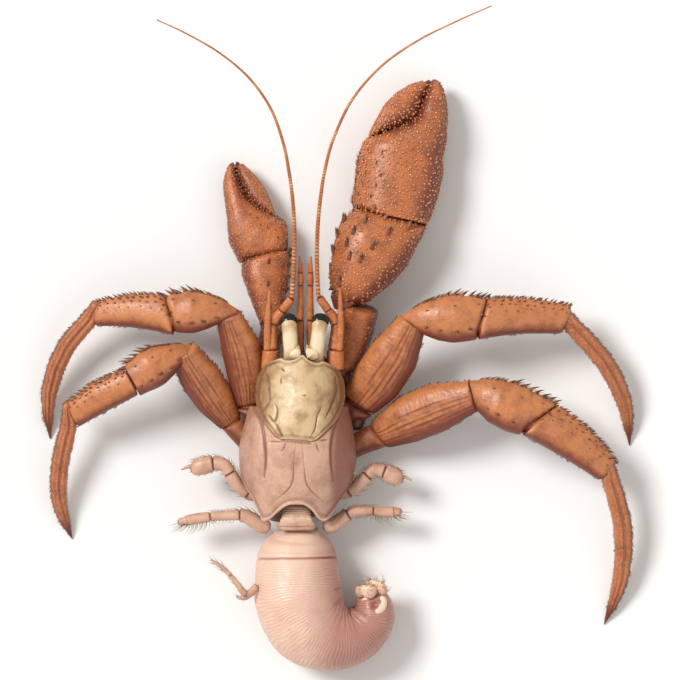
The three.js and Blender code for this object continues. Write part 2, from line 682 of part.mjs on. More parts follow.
// ---------------------------------------------------------------- abdomen
function addAbdomen() {
  const tergite = loft(TERGITE, { sides: 8, bands: 3, caps: [0.4, 0.4] });
  addPiece("abdomen_somite1", tergite.subtract(thoraxClearance), shellSoft);
  const names = ["abdomen_front", "abdomen_middle", "abdomen_rear"];
  names.forEach((name, i) => {
    const range = [ABDOMEN_CUTS[i] + (i > 0 ? 0.003 : 0), ABDOMEN_CUTS[i + 1] - 0.003];
    const caps = [i > 0 ? 0.05 : 0.8, i < 2 ? 0.05 : 1.4];
    addPiece(name, loft(ABDOMEN_STATIONS, { sides: 18, bands: 3 + 2 * i, caps, range }), flesh);
  });
}

function addTailFan() {
  const telson = [
    [15.2, -57.6, 9.4, 3.4, 1.8],
    [14.6, -56.2, 10.4, 4.4, 1.9],
    [14.4, -54.6, 11.2, 2.8, 1.4],
  ];
  addPiece("telson", loft(telson, { sides: 8, bands: 2, caps: [0.4, 0.5] }), shellPale);
  const left = [
    [14.0, -57.7, 6.6, 2.2, 2.2],
    [13.2, -56.2, 6.8, 2.8, 1.9],
    [13.0, -54.8, 7.2, 1.3, 1.2],
  ];
  addPiece("uropod_left", loft(left, { sides: 6, bands: 2, caps: [0.4, 0.4] }), horn);
  const right = [
    [18.2, -57.5, 8.8, 2.4, 2.6],
    [18.6, -56.2, 9.4, 3.2, 2.2],
    [18.2, -54.6, 10.0, 1.8, 1.4],
  ];
  addPiece("uropod_right", loft(right, { sides: 6, bands: 2, caps: [0.4, 0.4] }), horn);
}

function addPleopod() {
  const longBranch = [
    [-9.9, -55.2, 12.6, 2.6, 2.4],
    [-12.1, -57.2, 13.0, 2.6, 2.2],
    [-14.8, -54.0, 13.2, 1.8, 1.6],
    [-17.2, -51.4, 13.2, 1.6, 1.2],
    [-20.1, -49.4, 13.0, 0.8, 0.8],
  ];
  const shortBranch = [
    [-11.0, -57.0, 12.9, 2.0, 1.8],
    [-12.4, -58.0, 12.6, 1.8, 1.4],
    [-14.4, -57.7, 12.4, 0.9, 0.9],
  ];
  const pleopod = loft(longBranch, { sides: 6, bands: 7, caps: [0.4, 0.3] }).add(
    loft(shortBranch, { sides: 6, bands: 3, caps: [0.4, 0.3] }),
  );
  addPiece("pleopod", pleopod, shellSoft);
}

// ---------------------------------------------------------------- the whole animal
addCarapace();
addPiece("thorax", thoraxBody(0), shellSoft);
const thoraxClearance = thoraxBody(GAP);
for (const [side, sizes] of Object.entries(HEAD)) {
  addEye(side, sizes);
  addAntennule(side, sizes);
  addAntenna(side, sizes);
}
addMaxilliped("left", -1, thoraxClearance);
addMaxilliped("right", 1, thoraxClearance);
for (const [side, sizes] of Object.entries(CLAWS)) addClaw(side, sizes, thoraxClearance);
for (const [name, sizes] of Object.entries(LEGS)) addLeg(name, sizes, thoraxClearance);
for (const [name, stations] of Object.entries(SMALL_LEGS)) {
  const limb = loft(stations, { sides: 6, bands: 8, caps: [0.4, 0.4] });
  addPiece(name, limb.subtract(thoraxClearance), shellSoft);
}
addAbdomen();
addTailFan();
addPleopod();

// The origin is put under the middle of the box round the whole animal.
const middle = new THREE.Box3().setFromObject(crab).getCenter(new THREE.Vector3());
crab.position.set(-middle.x, -middle.y, 0);

const model = new THREE.Group();
model.name = "hermit_crab";
model.add(crab);

export default model;
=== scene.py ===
"""Looks of a common hermit crab (Pagurus bernhardus) out of its shell, a life-size display model.

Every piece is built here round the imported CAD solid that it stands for: the middle line and the
widths of each solid are measured, and a finer body with its own granules, spines, grooves and
bristles is made on them. +X is the animal's right, +Y is forward, +Z is up.
"""
import math
import bpy
import numpy as np
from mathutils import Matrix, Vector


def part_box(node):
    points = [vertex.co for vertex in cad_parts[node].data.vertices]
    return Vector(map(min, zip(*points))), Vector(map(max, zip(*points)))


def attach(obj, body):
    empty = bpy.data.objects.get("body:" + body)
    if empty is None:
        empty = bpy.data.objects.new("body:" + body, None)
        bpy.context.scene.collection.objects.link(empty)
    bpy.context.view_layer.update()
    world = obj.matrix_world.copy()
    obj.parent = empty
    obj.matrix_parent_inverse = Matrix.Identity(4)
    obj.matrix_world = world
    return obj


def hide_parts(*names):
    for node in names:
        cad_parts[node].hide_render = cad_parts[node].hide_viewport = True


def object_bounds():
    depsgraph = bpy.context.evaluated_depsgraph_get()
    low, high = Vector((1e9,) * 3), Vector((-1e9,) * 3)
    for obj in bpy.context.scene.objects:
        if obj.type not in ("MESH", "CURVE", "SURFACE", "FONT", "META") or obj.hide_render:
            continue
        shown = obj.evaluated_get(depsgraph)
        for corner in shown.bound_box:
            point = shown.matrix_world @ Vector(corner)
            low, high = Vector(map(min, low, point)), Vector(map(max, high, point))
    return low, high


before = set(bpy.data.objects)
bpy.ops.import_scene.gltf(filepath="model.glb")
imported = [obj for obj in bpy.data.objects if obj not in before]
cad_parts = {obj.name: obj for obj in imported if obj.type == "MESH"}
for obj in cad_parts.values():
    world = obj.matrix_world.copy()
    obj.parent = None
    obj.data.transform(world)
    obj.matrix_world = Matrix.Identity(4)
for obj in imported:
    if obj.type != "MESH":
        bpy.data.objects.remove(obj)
cad_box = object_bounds()

MM = 0.001
UP = np.array([0.0, 0.0, 1.0])
FORWARD = np.array([0.0, 1.0, 0.0])
MIDLINE = np.array([-8.36, -0.05, 0.0])  # mm, the place that outlines and grooves are measured from
SIDES = {"left": 1, "right": -1}
TAU = 2 * math.pi
rng = np.random.default_rng(11)


# ---- numbers
def unit(vectors):
    return vectors / np.maximum(np.linalg.norm(vectors, axis=-1, keepdims=True), 1e-12)


def smoothed(values, spread):
    """The rows of `values` averaged with their neighbours, `spread` rows to each side."""
    reach = math.ceil(3 * spread)
    weights = np.exp(-0.5 * (np.arange(-reach, reach + 1) / spread) ** 2)
    padded = np.concatenate([
        2 * values[:1] - values[reach:0:-1], values, 2 * values[-1:] - values[-2:-reach - 2:-1]
    ])
    return np.apply_along_axis(np.convolve, 0, padded, weights / weights.sum(), "valid")


def run_along(points):
    """The length of the line through `points` as far as each of them."""
    return np.append(0, np.cumsum(np.linalg.norm(np.diff(points[:, :3], axis=0), axis=1)))


def resampled(points, shares):
    """Points at these shares (0 to 1) of the length of a line, with any further columns."""
    run = run_along(points)
    return np.stack([np.interp(shares * run[-1], run, column) for column in points.T], axis=1)


def curved(points, count):
    """`count` points on a smooth curve through a few, with any further columns."""
    points = np.asarray(points, float)
    padded = np.concatenate([2 * points[:1] - points[1:2], points, 2 * points[-1:] - points[-2:-1]])
    t = np.linspace(0, len(points) - 1, count)
    i = np.minimum(t.astype(int), len(points) - 2)
    f = (t - i)[:, None]
    a, b, c, d = (padded[i + k] for k in range(4))
    return 0.5 * (2 * b + (c - a) * f + (2 * a - 5 * b + 4 * c - d) * f**2 + (3 * b - a - 3 * c + d) * f**3)


def noise(places, size):
    """Smooth, repeatable noise from -1 to 1 with features of about `size`."""
    scaled = places / size
    base = np.floor(scaled)
    f = scaled - base
    f = f * f * (3 - 2 * f)
    total = 0
    for corner in np.ndindex(2, 2, 2):
        weight = np.prod(np.where(np.array(corner) == 1, f, 1 - f), axis=-1)
        mixed = (base + corner) @ np.array([127.1, 311.7, 74.7])
        total = total + weight * np.modf(np.abs(np.sin(mixed) * 43758.5453))[0]
    return 2 * total - 1


def bump(x, middle, width):
    return np.exp(-(((x - middle) / width) ** 2))


def ramp(x, start, end):
    """0 at start, 1 at end, straight between."""
    return np.clip((x - start) / (end - start), 0, 1)


def strokes(x, y, lines, width):
    """1 on curved strokes through these lines of places, 0 beside them. They fade at their ends."""
    total = np.zeros(np.shape(x))
    for line in lines:
        points = curved(line, 8 * len(line))
        strength = np.sin(np.linspace(0.15, math.pi - 0.15, len(points))) ** 0.6
        for (ax, ay), (bx, by), strong in zip(points[:-1], points[1:], strength):
            dx, dy = bx - ax, by - ay
            t = np.clip(((x - ax) * dx + (y - ay) * dy) / (dx * dx + dy * dy), 0, 1)
            far = np.hypot(x - ax - t * dx, y - ay - t * dy) / (width * (0.4 + 0.6 * strong))
            total = np.maximum(total, strong * np.exp(-(far**2)))
    return total


# ---- measuring the CAD solids
def node_edges(*names):
    """The starts and the ends of all edges of these CAD nodes."""
    found = []
    for name in names:
        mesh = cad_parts[name].data
        places = np.array([tuple(vertex.co) for vertex in mesh.vertices])
        found.append(places[[tuple(edge.vertices) for edge in mesh.edges]])
    return np.concatenate(found).transpose(1, 0, 2)


def cut_points(edges, place, across):
    """Where the plane through `place` that faces `across` cuts the edges, as offsets from the place."""
    starts, ends = edges
    d, e = (starts - place) @ across, (ends - place) @ across
    cut = d * e < 0
    return starts[cut] + (ends[cut] - starts[cut]) * (d[cut] / (d[cut] - e[cut]))[:, None] - place


def across_frames(places, side, axis=None):
    """Along, fore and over directions at each place of a line, or across one straight axis. Fore is
    the front edge on a walking leg, and the inner edge on a claw."""
    along = unit(np.gradient(places, axis=0)) if axis is None else np.tile(axis, (len(places), 1))
    over = unit(UP - along * (along @ UP)[:, None])
    return along, unit(np.cross(along, over)) * SIDES[side], over


def opened(values, reach):
    """`values` with the peaks cut off that are no wider than twice the reach, in rows."""
    for pick in (np.min, np.max):
        padded = np.pad(values, reach, mode="edge")
        values = pick(np.lib.stride_tricks.sliding_window_view(padded, 2 * reach + 1), axis=1)
    return values


def sections(edges, places, side, axis=None, spines=0):
    """The middle, half width and half height of the solid at each place of a line through it.
    Spines up to twice `spines` rows wide are left out."""
    along, fore, over = across_frames(places, side, axis)
    rows = []
    for place, t, f, o in zip(places, along, fore, over):
        points = cut_points(edges, place, t)
        x, y = points @ f, points @ o
        rows.append([x.max(), -x.min(), y.max(), -y.min()] if len(points) > 2 else [np.nan] * 4)
    rows = np.array(rows)
    index = np.flatnonzero(~np.isnan(rows[:, 0]))
    front, back, high, low = (np.interp(np.arange(len(rows)), index, column[index]) for column in rows.T)
    if spines:
        front, back = opened(front, spines), opened(back, spines)
    middles = places + fore * ((front - back) / 2)[:, None] + over * ((high - low) / 2)[:, None]
    return np.column_stack([middles, (front + back) / 2, (high + low) / 2])


def rough_line(name, before, count, axis=None):
    """The edges of a CAD node and a straight line of places through it, from its end nearest to the
    node `before`, with the line's direction."""
    def sorted_from(place):
        return cloud[np.argsort(np.linalg.norm(cloud - place, axis=1))]

    edges = node_edges(name)
    cloud = edges[0]
    near = sorted_from(np.mean(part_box(before), axis=0))[: max(len(cloud) // 10, 4)].mean(axis=0)
    if axis is None:
        axis = unit(sorted_from(near)[-max(len(cloud) // 30, 4):].mean(axis=0) - near)
    run = (cloud - near) @ axis
    margin = 0.006 * np.ptp(run)
    return edges, near + np.linspace(run.min() + margin, run.max() - margin, count)[:, None] * axis, axis


def carried_on(rows, cloud):
    """The rows with both ends of their line carried straight on to the ends of the solid."""
    ends = []
    for end, inner in ((rows[0], rows[3]), (rows[-1], rows[-4])):
        outwards = unit(end[:3] - inner[:3])
        offsets = cloud - end[:3]
        run = offsets @ outwards
        aside = np.linalg.norm(offsets - run[:, None] * outwards, axis=1)
        reach = run[aside < 1.2 * max(end[3:])].max(initial=0.02 * MM)
        ends.append([*(end[:3] + outwards * reach), *end[3:]])
    return np.concatenate([ends[:1], rows, ends[1:]])


def measured(name, before, side, soften=1.2):
    """The rows [x, y, z, half width, half height] along a curved CAD node."""
    count = 44
    edges, line, _axis = rough_line(name, before, count)
    for _ in range(3):
        rows = carried_on(smoothed(sections(edges, line, side), soften)[3:-3], edges[0])
        line = resampled(rows, np.linspace(0, 1, count))[:, :3]
    return np.column_stack([line, smoothed(sections(edges, line, side)[:, 3:], soften * 0.6)])


def sliced(name, before, side, spines=0, chord=(0.12, 0.88)):
    """As `measured`, for a stiff piece: every section is parallel to the others, so an end cut off
    at a slant stays slanting. Returns the rows and the direction that the sections face, which is
    that of the line between two shares of its length."""
    count, axis = 64, None
    for _ in range(3):
        edges, line, axis = rough_line(name, before, count, axis)
        rows = sections(edges, line, side, axis)
        axis = unit(rows[int(chord[1] * count), :3] - rows[int(chord[0] * count), :3])
    edges, line, axis = rough_line(name, before, count, axis)
    return smoothed(sections(edges, line, side, axis, spines), 0.9), axis


# ---- bodies
class Body:
    """A closed body along a line: rings of points from its root to its end.

    `rows` are [x, y, z, half width, half height]. An angle of 0 is the fore edge, a quarter turn
    the top, a half turn the other edge. `square` is 2 for an oval section and more for a boxier
    one. `root` and `tip` are the lengths over which the ends are rounded, `hold` is the length at
    each end that keeps one width, and `stretch` is how far each end is drawn out, all in mm.
    """

    def __init__(self, rows, side="left", step=0.35, around=40, square=2.2, root=0.5, tip=0.3,
                 hold=(0.0, 0.0), relief=None, axis=None, stretch=(0.0, 0.0)):
        rows, run = np.array(rows, float), run_along(rows)
        drawn = np.interp(run / run[-1], [0, 1], [-stretch[0], stretch[1]])[:, None]
        rows[:, :3] += across_frames(rows[:, :3], side, axis)[0] * drawn * MM
        length = run_along(rows)[-1]
        count = max(int(length / (step * MM)), 8)
        close = np.array([0.15, 0.4]) / count
        u = np.unique(np.concatenate([np.linspace(0, 1, count), close, 1 - close]))
        rows, run = resampled(rows, u), u * length
        first = np.searchsorted(run, hold[0] * MM)
        last = len(run) - 1 - np.searchsorted(length - run[::-1], hold[1] * MM)
        rows[:first, 3:] = rows[first, 3:]
        rows[last + 1:, 3:] = rows[last, 3:]
        cap = np.ones(len(run))
        for size, gone in ((root, run), (tip, length - run)):
            cap *= np.sqrt(1 - (1 - np.clip(gone / (size * MM), 0, 1)) ** 2)
        cap = np.maximum(cap, 0.02)[:, None]
        self.side, self.length, self.u, self.run = side, length, u, run
        self.places, self.half = rows[:, :3], rows[:, 3:] * cap
        self.along, fore, over = across_frames(self.places, side, axis)
        self.angle = np.linspace(0, TAU, around, endpoint=False)
        c, s = np.cos(self.angle), np.sin(self.angle)
        x, y = np.array([c, s]) * (np.abs(c) ** square + np.abs(s) ** square) ** (-1 / square)
        across = (self.half[:, :1] * x)[..., None] * fore[:, None]
        self.grid = self.places[:, None] + across + (self.half[:, 1:] * y)[..., None] * over[:, None]
        self.find_normals()
        if relief is not None:
            lift = relief(self, run[:, None] / MM, np.broadcast_to(self.angle, self.grid.shape[:2]))
            self.grid = self.grid + self.normal * (lift * np.clip(cap * 1.5 - 0.2, 0, 1) * MM)[..., None]
            self.find_normals()

    def noise(self, size):
        return noise(self.grid / MM, size)

    def find_normals(self):
        turn = np.roll(self.grid, -1, axis=1) - np.roll(self.grid, 1, axis=1)
        normal = unit(np.cross(turn, np.gradient(self.grid, axis=0)))
        outwards = np.sum(normal * (self.grid - self.places[:, None]), axis=-1, keepdims=True)
        self.normal = normal * np.where(outwards < 0, -1, 1)

    def closed(self):
        """Vertices and faces, with the share along and the turn of each vertex."""
        count, around = self.grid.shape[:2]
        points = np.concatenate([self.grid.reshape(-1, 3), self.grid[[0, -1]].mean(axis=1)])
        index = np.arange(count * around).reshape(count, around)
        after = np.roll(index, -1, axis=1)
        quads = np.stack([index[1:], after[1:], after[:-1], index[:-1]], axis=-1).reshape(-1, 4)
        root = np.stack([index[0], after[0], np.full(around, index.size)], axis=1)
        tip = np.stack([after[-1], index[-1], np.full(around, index.size + 1)], axis=1)
        share = np.append(np.repeat(self.u, around), [0, 1])
        turn = np.append(np.tile(self.angle / TAU, count), [0, 0])
        return points, [faces[:, ::SIDES[self.side]] for faces in (quads, root, tip)], share, turn

    def spots(self, u, angle):
        """Points, outward normals and lengthwise directions of the surface at these shares and angles."""
        row = np.interp(u, self.u, np.arange(len(self.u)))
        i = np.minimum(row.astype(int), len(self.u) - 2)
        column = (angle % TAU) / TAU * len(self.angle)
        j = column.astype(int) % len(self.angle)
        k = (j + 1) % len(self.angle)
        f, g = (row - i)[:, None], (column - column.astype(int))[:, None]

        def mixed(values):
            near = values[i, j] * (1 - g) + values[i, k] * g
            return near * (1 - f) + (values[i + 1, j] * (1 - g) + values[i + 1, k] * g) * f

        return mixed(self.grid), unit(mixed(self.normal)), self.along[i]

    def scattered(self, spacing, reach, turns, keep):
        """Shares and angles of evenly strewn places, `spacing` mm apart, of which a share is kept."""
        us, angles = [], []
        rows = max(int((reach[1] - reach[0]) * self.length / (spacing * MM)), 1)
        for n in range(rows):
            u = reach[0] + (n + 0.5) / rows * (reach[1] - reach[0])
            w, h = (np.interp(u, self.u, half) for half in self.half.T)
            girth = math.pi * math.sqrt(2 * (w * w + h * h)) * (turns[1] - turns[0])
            count = max(int(girth / (spacing * MM)), 1)
            places = (np.arange(count) + (0.5 if n % 2 else 0.0) + 0.25) / count
            us.append(u + rng.normal(0, 0.3 * spacing * MM / self.length, count))
            places += rng.normal(0, 0.3 / count, count)
            angles.append((turns[0] + places * (turns[1] - turns[0])) * TAU)
        u, angle = np.concatenate(us), np.concatenate(angles)
        kept = (rng.random(len(u)) < keep) & (u > 0.01) & (u < 0.995)
        return u[kept], angle[kept]


def stiff(name, before, side, spines=0, chord=(0.12, 0.88), **options):
    """A body round a stiff CAD piece."""
    rows, axis = sliced(name, before, side, spines, chord)
    return Body(rows, side, axis=axis, **options)


def limb(names, options, side):
    """The stiff pieces of a limb, in order from the thorax, each with its own options."""
    befores = ["thorax", *names]
    return [stiff(name, before, side, **more) for name, before, more in zip(names, befores, options)]


def part_of(rows, start, end, plump=1.0, tip=0.3, side="left", **options):
    """A segment of a limb: the stretch of its rows between two shares of its length, made plumper."""
    rows = resampled(rows * [1, 1, 1, plump, plump], np.linspace(start, end, 20))
    return Body(rows, side, **{"step": 0.22, "around": 32, "tip": tip, **options})


def plug(first, second, inset=2.4, swell=0.68):
    """A short body that ties the root of `second` to the inside of `first`."""
    b = np.searchsorted(second.run, inset * MM)
    inner = second.places[b]
    outer = inner + unit(first.places[len(first.places) // 2] - inner) * (inset + 1.2) * MM
    rows = curved([[*place, *(second.half[b] * swell)] for place in (outer, inner)], 12)
    return Body(rows, second.side, step=0.2, around=32, root=0.4, tip=0.4)


# ---- pieces
def new_piece(name, points, faces, material, slot, nodes=(), **numbers):
    """A piece that rides on the CAD root. `numbers` are values for each vertex, which its material reads."""
    points[:, 2] = np.maximum(points[:, 2], 0)
    mesh = bpy.data.meshes.new(name)
    mesh.from_pydata(points.tolist(), [], faces)
    mesh.validate()
    mesh.shade_smooth()
    mesh.materials.append(material)
    for key, values in numbers.items():
        mesh.attributes.new(key, "FLOAT", "POINT").data.foreach_set("value", np.asarray(values, np.float32))
    piece = bpy.data.objects.new(name, mesh)
    bpy.context.scene.collection.objects.link(piece)
    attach(piece, "root")
    if nodes:
        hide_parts(*nodes)
    return piece


def build(name, bodies, material, slot, mark=0.0, shade=0.0, nodes=None):
    """One piece of one or more bodies, which stands for the CAD node of its name or for `nodes`.
    `mark` is each vertex's share of the pale colour and `shade` its share of the dark one: a number,
    or a function of the body and of the vertices' share along, turn and place."""
    faces, rows, count = [], [], 0
    for body in bodies:
        points, kinds, share, turn = body.closed()
        faces += [face for kind in kinds for face in (kind + count).tolist()]
        values = [rule(body, share, turn, points) if callable(rule) else rule for rule in (mark, shade)]
        rows.append(np.column_stack([points, *(np.broadcast_to(value, share.shape) for value in values)]))
        count += len(points)
    rows = np.concatenate(rows)
    nodes = [name] if nodes is None else nodes
    new_piece(name, rows[:, :3], faces, material, slot, nodes, mark=rows[:, 3], shade=rows[:, 4])


class Growth:
    """Granules, spines or hairs of one kind, gathered from several bodies and made as one piece."""

    def __init__(self, kind):
        self.kind, self.parts, self.bodies = kind, [], []

    def add(self, body, u, angle, radius, height, lean=0.0, droop=0.0, swing=0.0):
        """All are one number or one for each. `radius` and `height` are mm. `lean` tips them towards
        the far end, `droop` bends their ends, and `swing` turns them round the body."""
        if body not in self.bodies:
            self.bodies.append(body)
        numbers = np.broadcast_arrays(u, angle, radius, height, lean, droop, swing)
        u, angle, *numbers = (np.array(column, float) for column in numbers)
        radius, height, lean, droop, swing = (column[:, None] for column in numbers)
        roots, normals, along = body.spots(u, angle)
        direction = unit(normals + along * lean + unit(np.cross(normals, along)) * swing)
        bend = along - direction * np.sum(along * direction, axis=1, keepdims=True)
        home = np.stack([u, self.bodies.index(body) + (angle % TAU) / TAU], axis=1)
        self.parts.append((roots, direction, bend * droop, radius * MM, height * MM, home))

    def strew(self, body, turn, start, end, count, radius, height, lean, droop=0.25, ragged=0.007,
              spread=(0.8, 1.2), swing=0.0, each=0, ends=(0.02, 0.985)):
        """A row along the body between two shares of its length, or tufts of `each` at random there.
        `ragged` is how far they stray from the turn, and `spread` how much their heights vary."""
        if each:
            u = np.repeat(rng.uniform(start, end, count), each) + rng.normal(0, 0.006, count * each)
        else:
            u = np.linspace(start, end, count) + rng.normal(0, 0.01, count)
        angle = (turn + rng.normal(0, ragged, len(u))) * TAU
        height = height * rng.uniform(*spread, len(u))
        swing = rng.normal(0, swing, len(u)) if swing else 0.0
        self.add(body, np.clip(u, *ends), angle, radius, height, lean, droop, swing)

    def make(self, name):
        profile, sides, material, slot = self.kind
        roots, direction, bend, radius, height, home = (np.concatenate(c) for c in zip(*self.parts))
        x = unit(np.cross(direction, np.where(np.abs(direction[:, 2:]) > 0.9, FORWARD, UP)))
        y = np.cross(direction, x)
        points, rises, flat = [], [], []
        for wide, rise in profile:
            centre = roots + direction * height * rise + bend * height * max(rise, 0) ** 2
            for angle in np.arange(sides if wide else 1) * TAU / sides:
                c, s = math.cos(angle) * wide, math.sin(angle) * wide
                points.append(centre + (x * c + y * s) * radius)
                rises.append(max(rise, 0))
                flat.append((c * (1 - 0.5 * rise), s * (1 - 0.5 * rise)))
        ring = np.stack([np.arange(sides), (np.arange(sides) + 1) % sides], axis=1)
        last = (len(profile) - 2) * sides
        lows = range(0, last, sides)
        faces = [(*(low + pair), *(low + sides + pair[::-1])) for low in lows for pair in ring]
        faces += [(*(last + pair), last + sides) for pair in ring] + [tuple(range(sides))[::-1]]
        count, per = len(roots), len(points)
        piece = new_piece(
            name, np.stack(points, axis=1).reshape(-1, 3),
            [[int(v) + i * per for v in face] for i in range(count) for face in faces], material, slot,
            rise=np.tile(rises, count), tone=np.repeat(rng.random(count), per),
        )
        home = home / [1, len(self.bodies)]
        where = (home[:, None] + np.array(flat) * 0.0015).reshape(-1, 2)
        corners = [loop.vertex_index for loop in piece.data.loops]
        layer = piece.data.uv_layers.new(name="OFBake")
        layer.data.foreach_set("uv", where[corners].astype(np.float32).ravel())


# ---- materials
class Nodes:
    """A material, with a small helper that adds shader nodes and links them."""

    def __init__(self, name):
        self.material = bpy.data.materials.new(name)
        self.material.use_nodes = True
        self.tree = self.material.node_tree
        self.space = self.add("TexCoord", "Object")

    def fill(self, node, inputs):
        """Sets or links these inputs of a node."""
        for name, value in inputs.items():
            if isinstance(value, bpy.types.NodeSocket):
                self.tree.links.new(value, node.inputs[name])
            else:
                node.inputs[name].default_value = value

    def add(self, kind, output, inputs=(), **settings):
        """The output of a new node."""
        node = self.tree.nodes.new("ShaderNode" + kind)
        for name, value in settings.items():
            setattr(node, name, value)
        self.fill(node, dict(inputs))
        return node.outputs[output]

    def noise(self, size, detail=3.0, rough=0.55):
        """Noise with features of about `size` mm."""
        inputs = {"Vector": self.space, "Scale": 1 / (size * MM), "Detail": detail, "Roughness": rough}
        return self.add("TexNoise", "Fac", inputs)

    def cells(self, size):
        """Distance to the middle of cells of about `size` mm."""
        return self.add("TexVoronoi", "Distance", {"Vector": self.space, "Scale": 1 / (size * MM)})

    def attribute(self, name):
        return self.add("Attribute", "Fac", attribute_name=name)

    def span(self, value, low, high, start=0.0, end=1.0):
        """`value` from low..high carried to start..end, with smooth ends."""
        inputs = {"Value": value, "From Min": low, "From Max": high, "To Min": start, "To Max": end}
        return self.add("MapRange", "Result", inputs, interpolation_type="SMOOTHSTEP")

    def times(self, a, b):
        return self.add("Math", "Value", {0: a, 1: b}, operation="MULTIPLY")

    def plus(self, a, b):
        return self.add("Math", "Value", {0: a, 1: b})

    def mix(self, share, a, b):
        """Colour a where share is 0, colour b where it is 1."""
        a, b = ((*colour, 1) if isinstance(colour, tuple) else colour for colour in (a, b))
        return self.add("Mix", "Result", {"Factor": share, "A": a, "B": b}, data_type="RGBA")

    def finish(self, colour, rough, bumps, constants=()):
        """`rough` is a low and a high roughness over fine noise, `bumps` pairs of height and depth in mm."""
        shader = self.tree.nodes["Principled BSDF"]
        roughness = self.span(self.noise(0.8), 0.3, 0.7, *rough)
        self.fill(shader, {"Base Color": colour, "Roughness": roughness, **dict(constants)})
        normal = {}
        for height, depth in bumps:
            bumpy = self.add("Bump", "Normal", {"Distance": depth * MM, "Height": height, **normal})
            normal = {"Normal": bumpy}
        self.fill(shader, normal)
        return self.material


def shell_material(name, base, dark, pale, rough=(0.30, 0.48), mottle=3.2, mottled=0.6, speckled=0.22):
    """Calcified shell: mottled, speckled and pitted, darker where the piece is shaded and fading to
    `pale` where it is marked."""
    n = Nodes(name)
    broad = n.span(n.noise(mottle, 4), 0.40, 0.70)
    fine = n.span(n.noise(0.45, 3), 0.45, 0.70)
    colour = n.mix(n.times(broad, mottled), base, dark)
    colour = n.mix(n.times(fine, speckled), colour, pale)
    ragged = n.times(n.noise(1.4, 4), 0.5)
    colour = n.mix(n.span(n.plus(n.attribute("shade"), ragged), 0.30, 1.15), colour, dark)
    colour = n.mix(n.span(n.plus(n.attribute("mark"), ragged), 0.62, 0.95), colour, pale)
    return n.finish(colour, rough, [(n.noise(0.9, 5), 0.08), (n.cells(0.34), 0.025)])


def sprout_material(name, root, tip, start, end, rough=(0.3, 0.45)):
    """Granules, spines and hairs: from `root` to `tip` colour along their height."""
    n = Nodes(name)
    rise = n.plus(n.attribute("rise"), n.times(n.attribute("tone"), 0.35))
    colour = n.mix(n.span(rise, start, end), root, tip)
    colour = n.mix(n.times(n.span(n.noise(2.5), 0.4, 0.65), 0.4), colour, root)
    return n.finish(colour, rough, [(n.noise(0.3), 0.02)])


def flesh_material():
    n = Nodes("abdomen_skin")
    colour = n.mix(n.span(n.noise(7.0, 4), 0.35, 0.7), (0.70, 0.42, 0.31), (0.60, 0.29, 0.21))
    veins = n.span(n.noise(2.4, 6, 0.7), 0.52, 0.6)
    for share, strength, tint in (
        (veins, 0.35, (0.46, 0.16, 0.13)), (n.attribute("mark"), 0.8, (0.80, 0.60, 0.46)),
        (n.attribute("shade"), 0.7, (0.34, 0.12, 0.09)),
    ):
        colour = n.mix(n.times(share, strength), colour, tint)
    return n.finish(
        colour, (0.30, 0.46), [(n.noise(1.1, 5), 0.09), (n.cells(0.5), 0.03)],
        {"Subsurface Weight": 0.22, "Subsurface Scale": 0.0015, "Coat Weight": 0.12, "Coat Roughness": 0.3},
    )


def eye_material():
    n = Nodes("cornea")
    colour = n.mix(n.span(n.noise(0.8, 3), 0.4, 0.7), (0.006, 0.008, 0.005), (0.016, 0.018, 0.009))
    gloss = {"Specular IOR Level": 0.3, "Coat Weight": 0.08, "Coat Roughness": 0.08}
    return n.finish(colour, (0.16, 0.26), [(n.cells(0.16), 0.01)], gloss)


def floor_material():
    n = Nodes("studio_floor")
    colour = n.mix(n.noise(60.0, 2), (0.80, 0.79, 0.77), (0.83, 0.82, 0.80))
    return n.finish(colour, (0.8, 0.9), [(n.noise(2.0, 4), 0.02)])


claw_shell = shell_material("claw_shell", (0.46, 0.130, 0.036), (0.17, 0.036, 0.016), (0.70, 0.40, 0.20))
leg_shell = shell_material(
    "leg_shell", (0.50, 0.170, 0.055), (0.19, 0.042, 0.020), (0.74, 0.46, 0.25), mottle=2.8, mottled=0.45,
    speckled=0.14,
)
shield_shell = shell_material(
    "shield_shell", (0.60, 0.42, 0.22), (0.24, 0.11, 0.045), (0.76, 0.62, 0.40), mottle=3.6, mottled=0.75,
)
soft_shell = shell_material(
    "soft_shell", (0.60, 0.35, 0.24), (0.30, 0.12, 0.08), (0.78, 0.58, 0.42), rough=(0.36, 0.5), mottle=5.0,
)
feeler_shell = shell_material(
    "feeler_shell", (0.52, 0.15, 0.04), (0.16, 0.035, 0.014), (0.82, 0.50, 0.24), mottle=2.0, mottled=0.4,
)
dactyl_shell = shell_material(
    "dactyl_shell", (0.44, 0.13, 0.045), (0.15, 0.036, 0.018), (0.80, 0.56, 0.33), mottle=3.0, mottled=0.4,
)
# A dark membrane colour, used only for the thorax, chosen this dark as painted shade under the carapace.
shaded_membrane = shell_material(
    "shaded_membrane", (0.34, 0.15, 0.085), (0.13, 0.045, 0.025), (0.55, 0.33, 0.2), mottle=1.2,
)
skin, cornea = flesh_material(), eye_material()
granule_shell = sprout_material("granules", (0.40, 0.105, 0.032), (0.78, 0.46, 0.24), 0.45, 1.2)
spine_horn = sprout_material("spines", (0.36, 0.11, 0.04), (0.045, 0.016, 0.012), 0.1, 0.75)
tooth_horn = sprout_material("teeth", (0.10, 0.040, 0.020), (0.50, 0.33, 0.18), 0.4, 1.2)
bristle = sprout_material("bristles", (0.20, 0.105, 0.04), (0.42, 0.27, 0.12), 0.25, 0.95, rough=(0.4, 0.55))

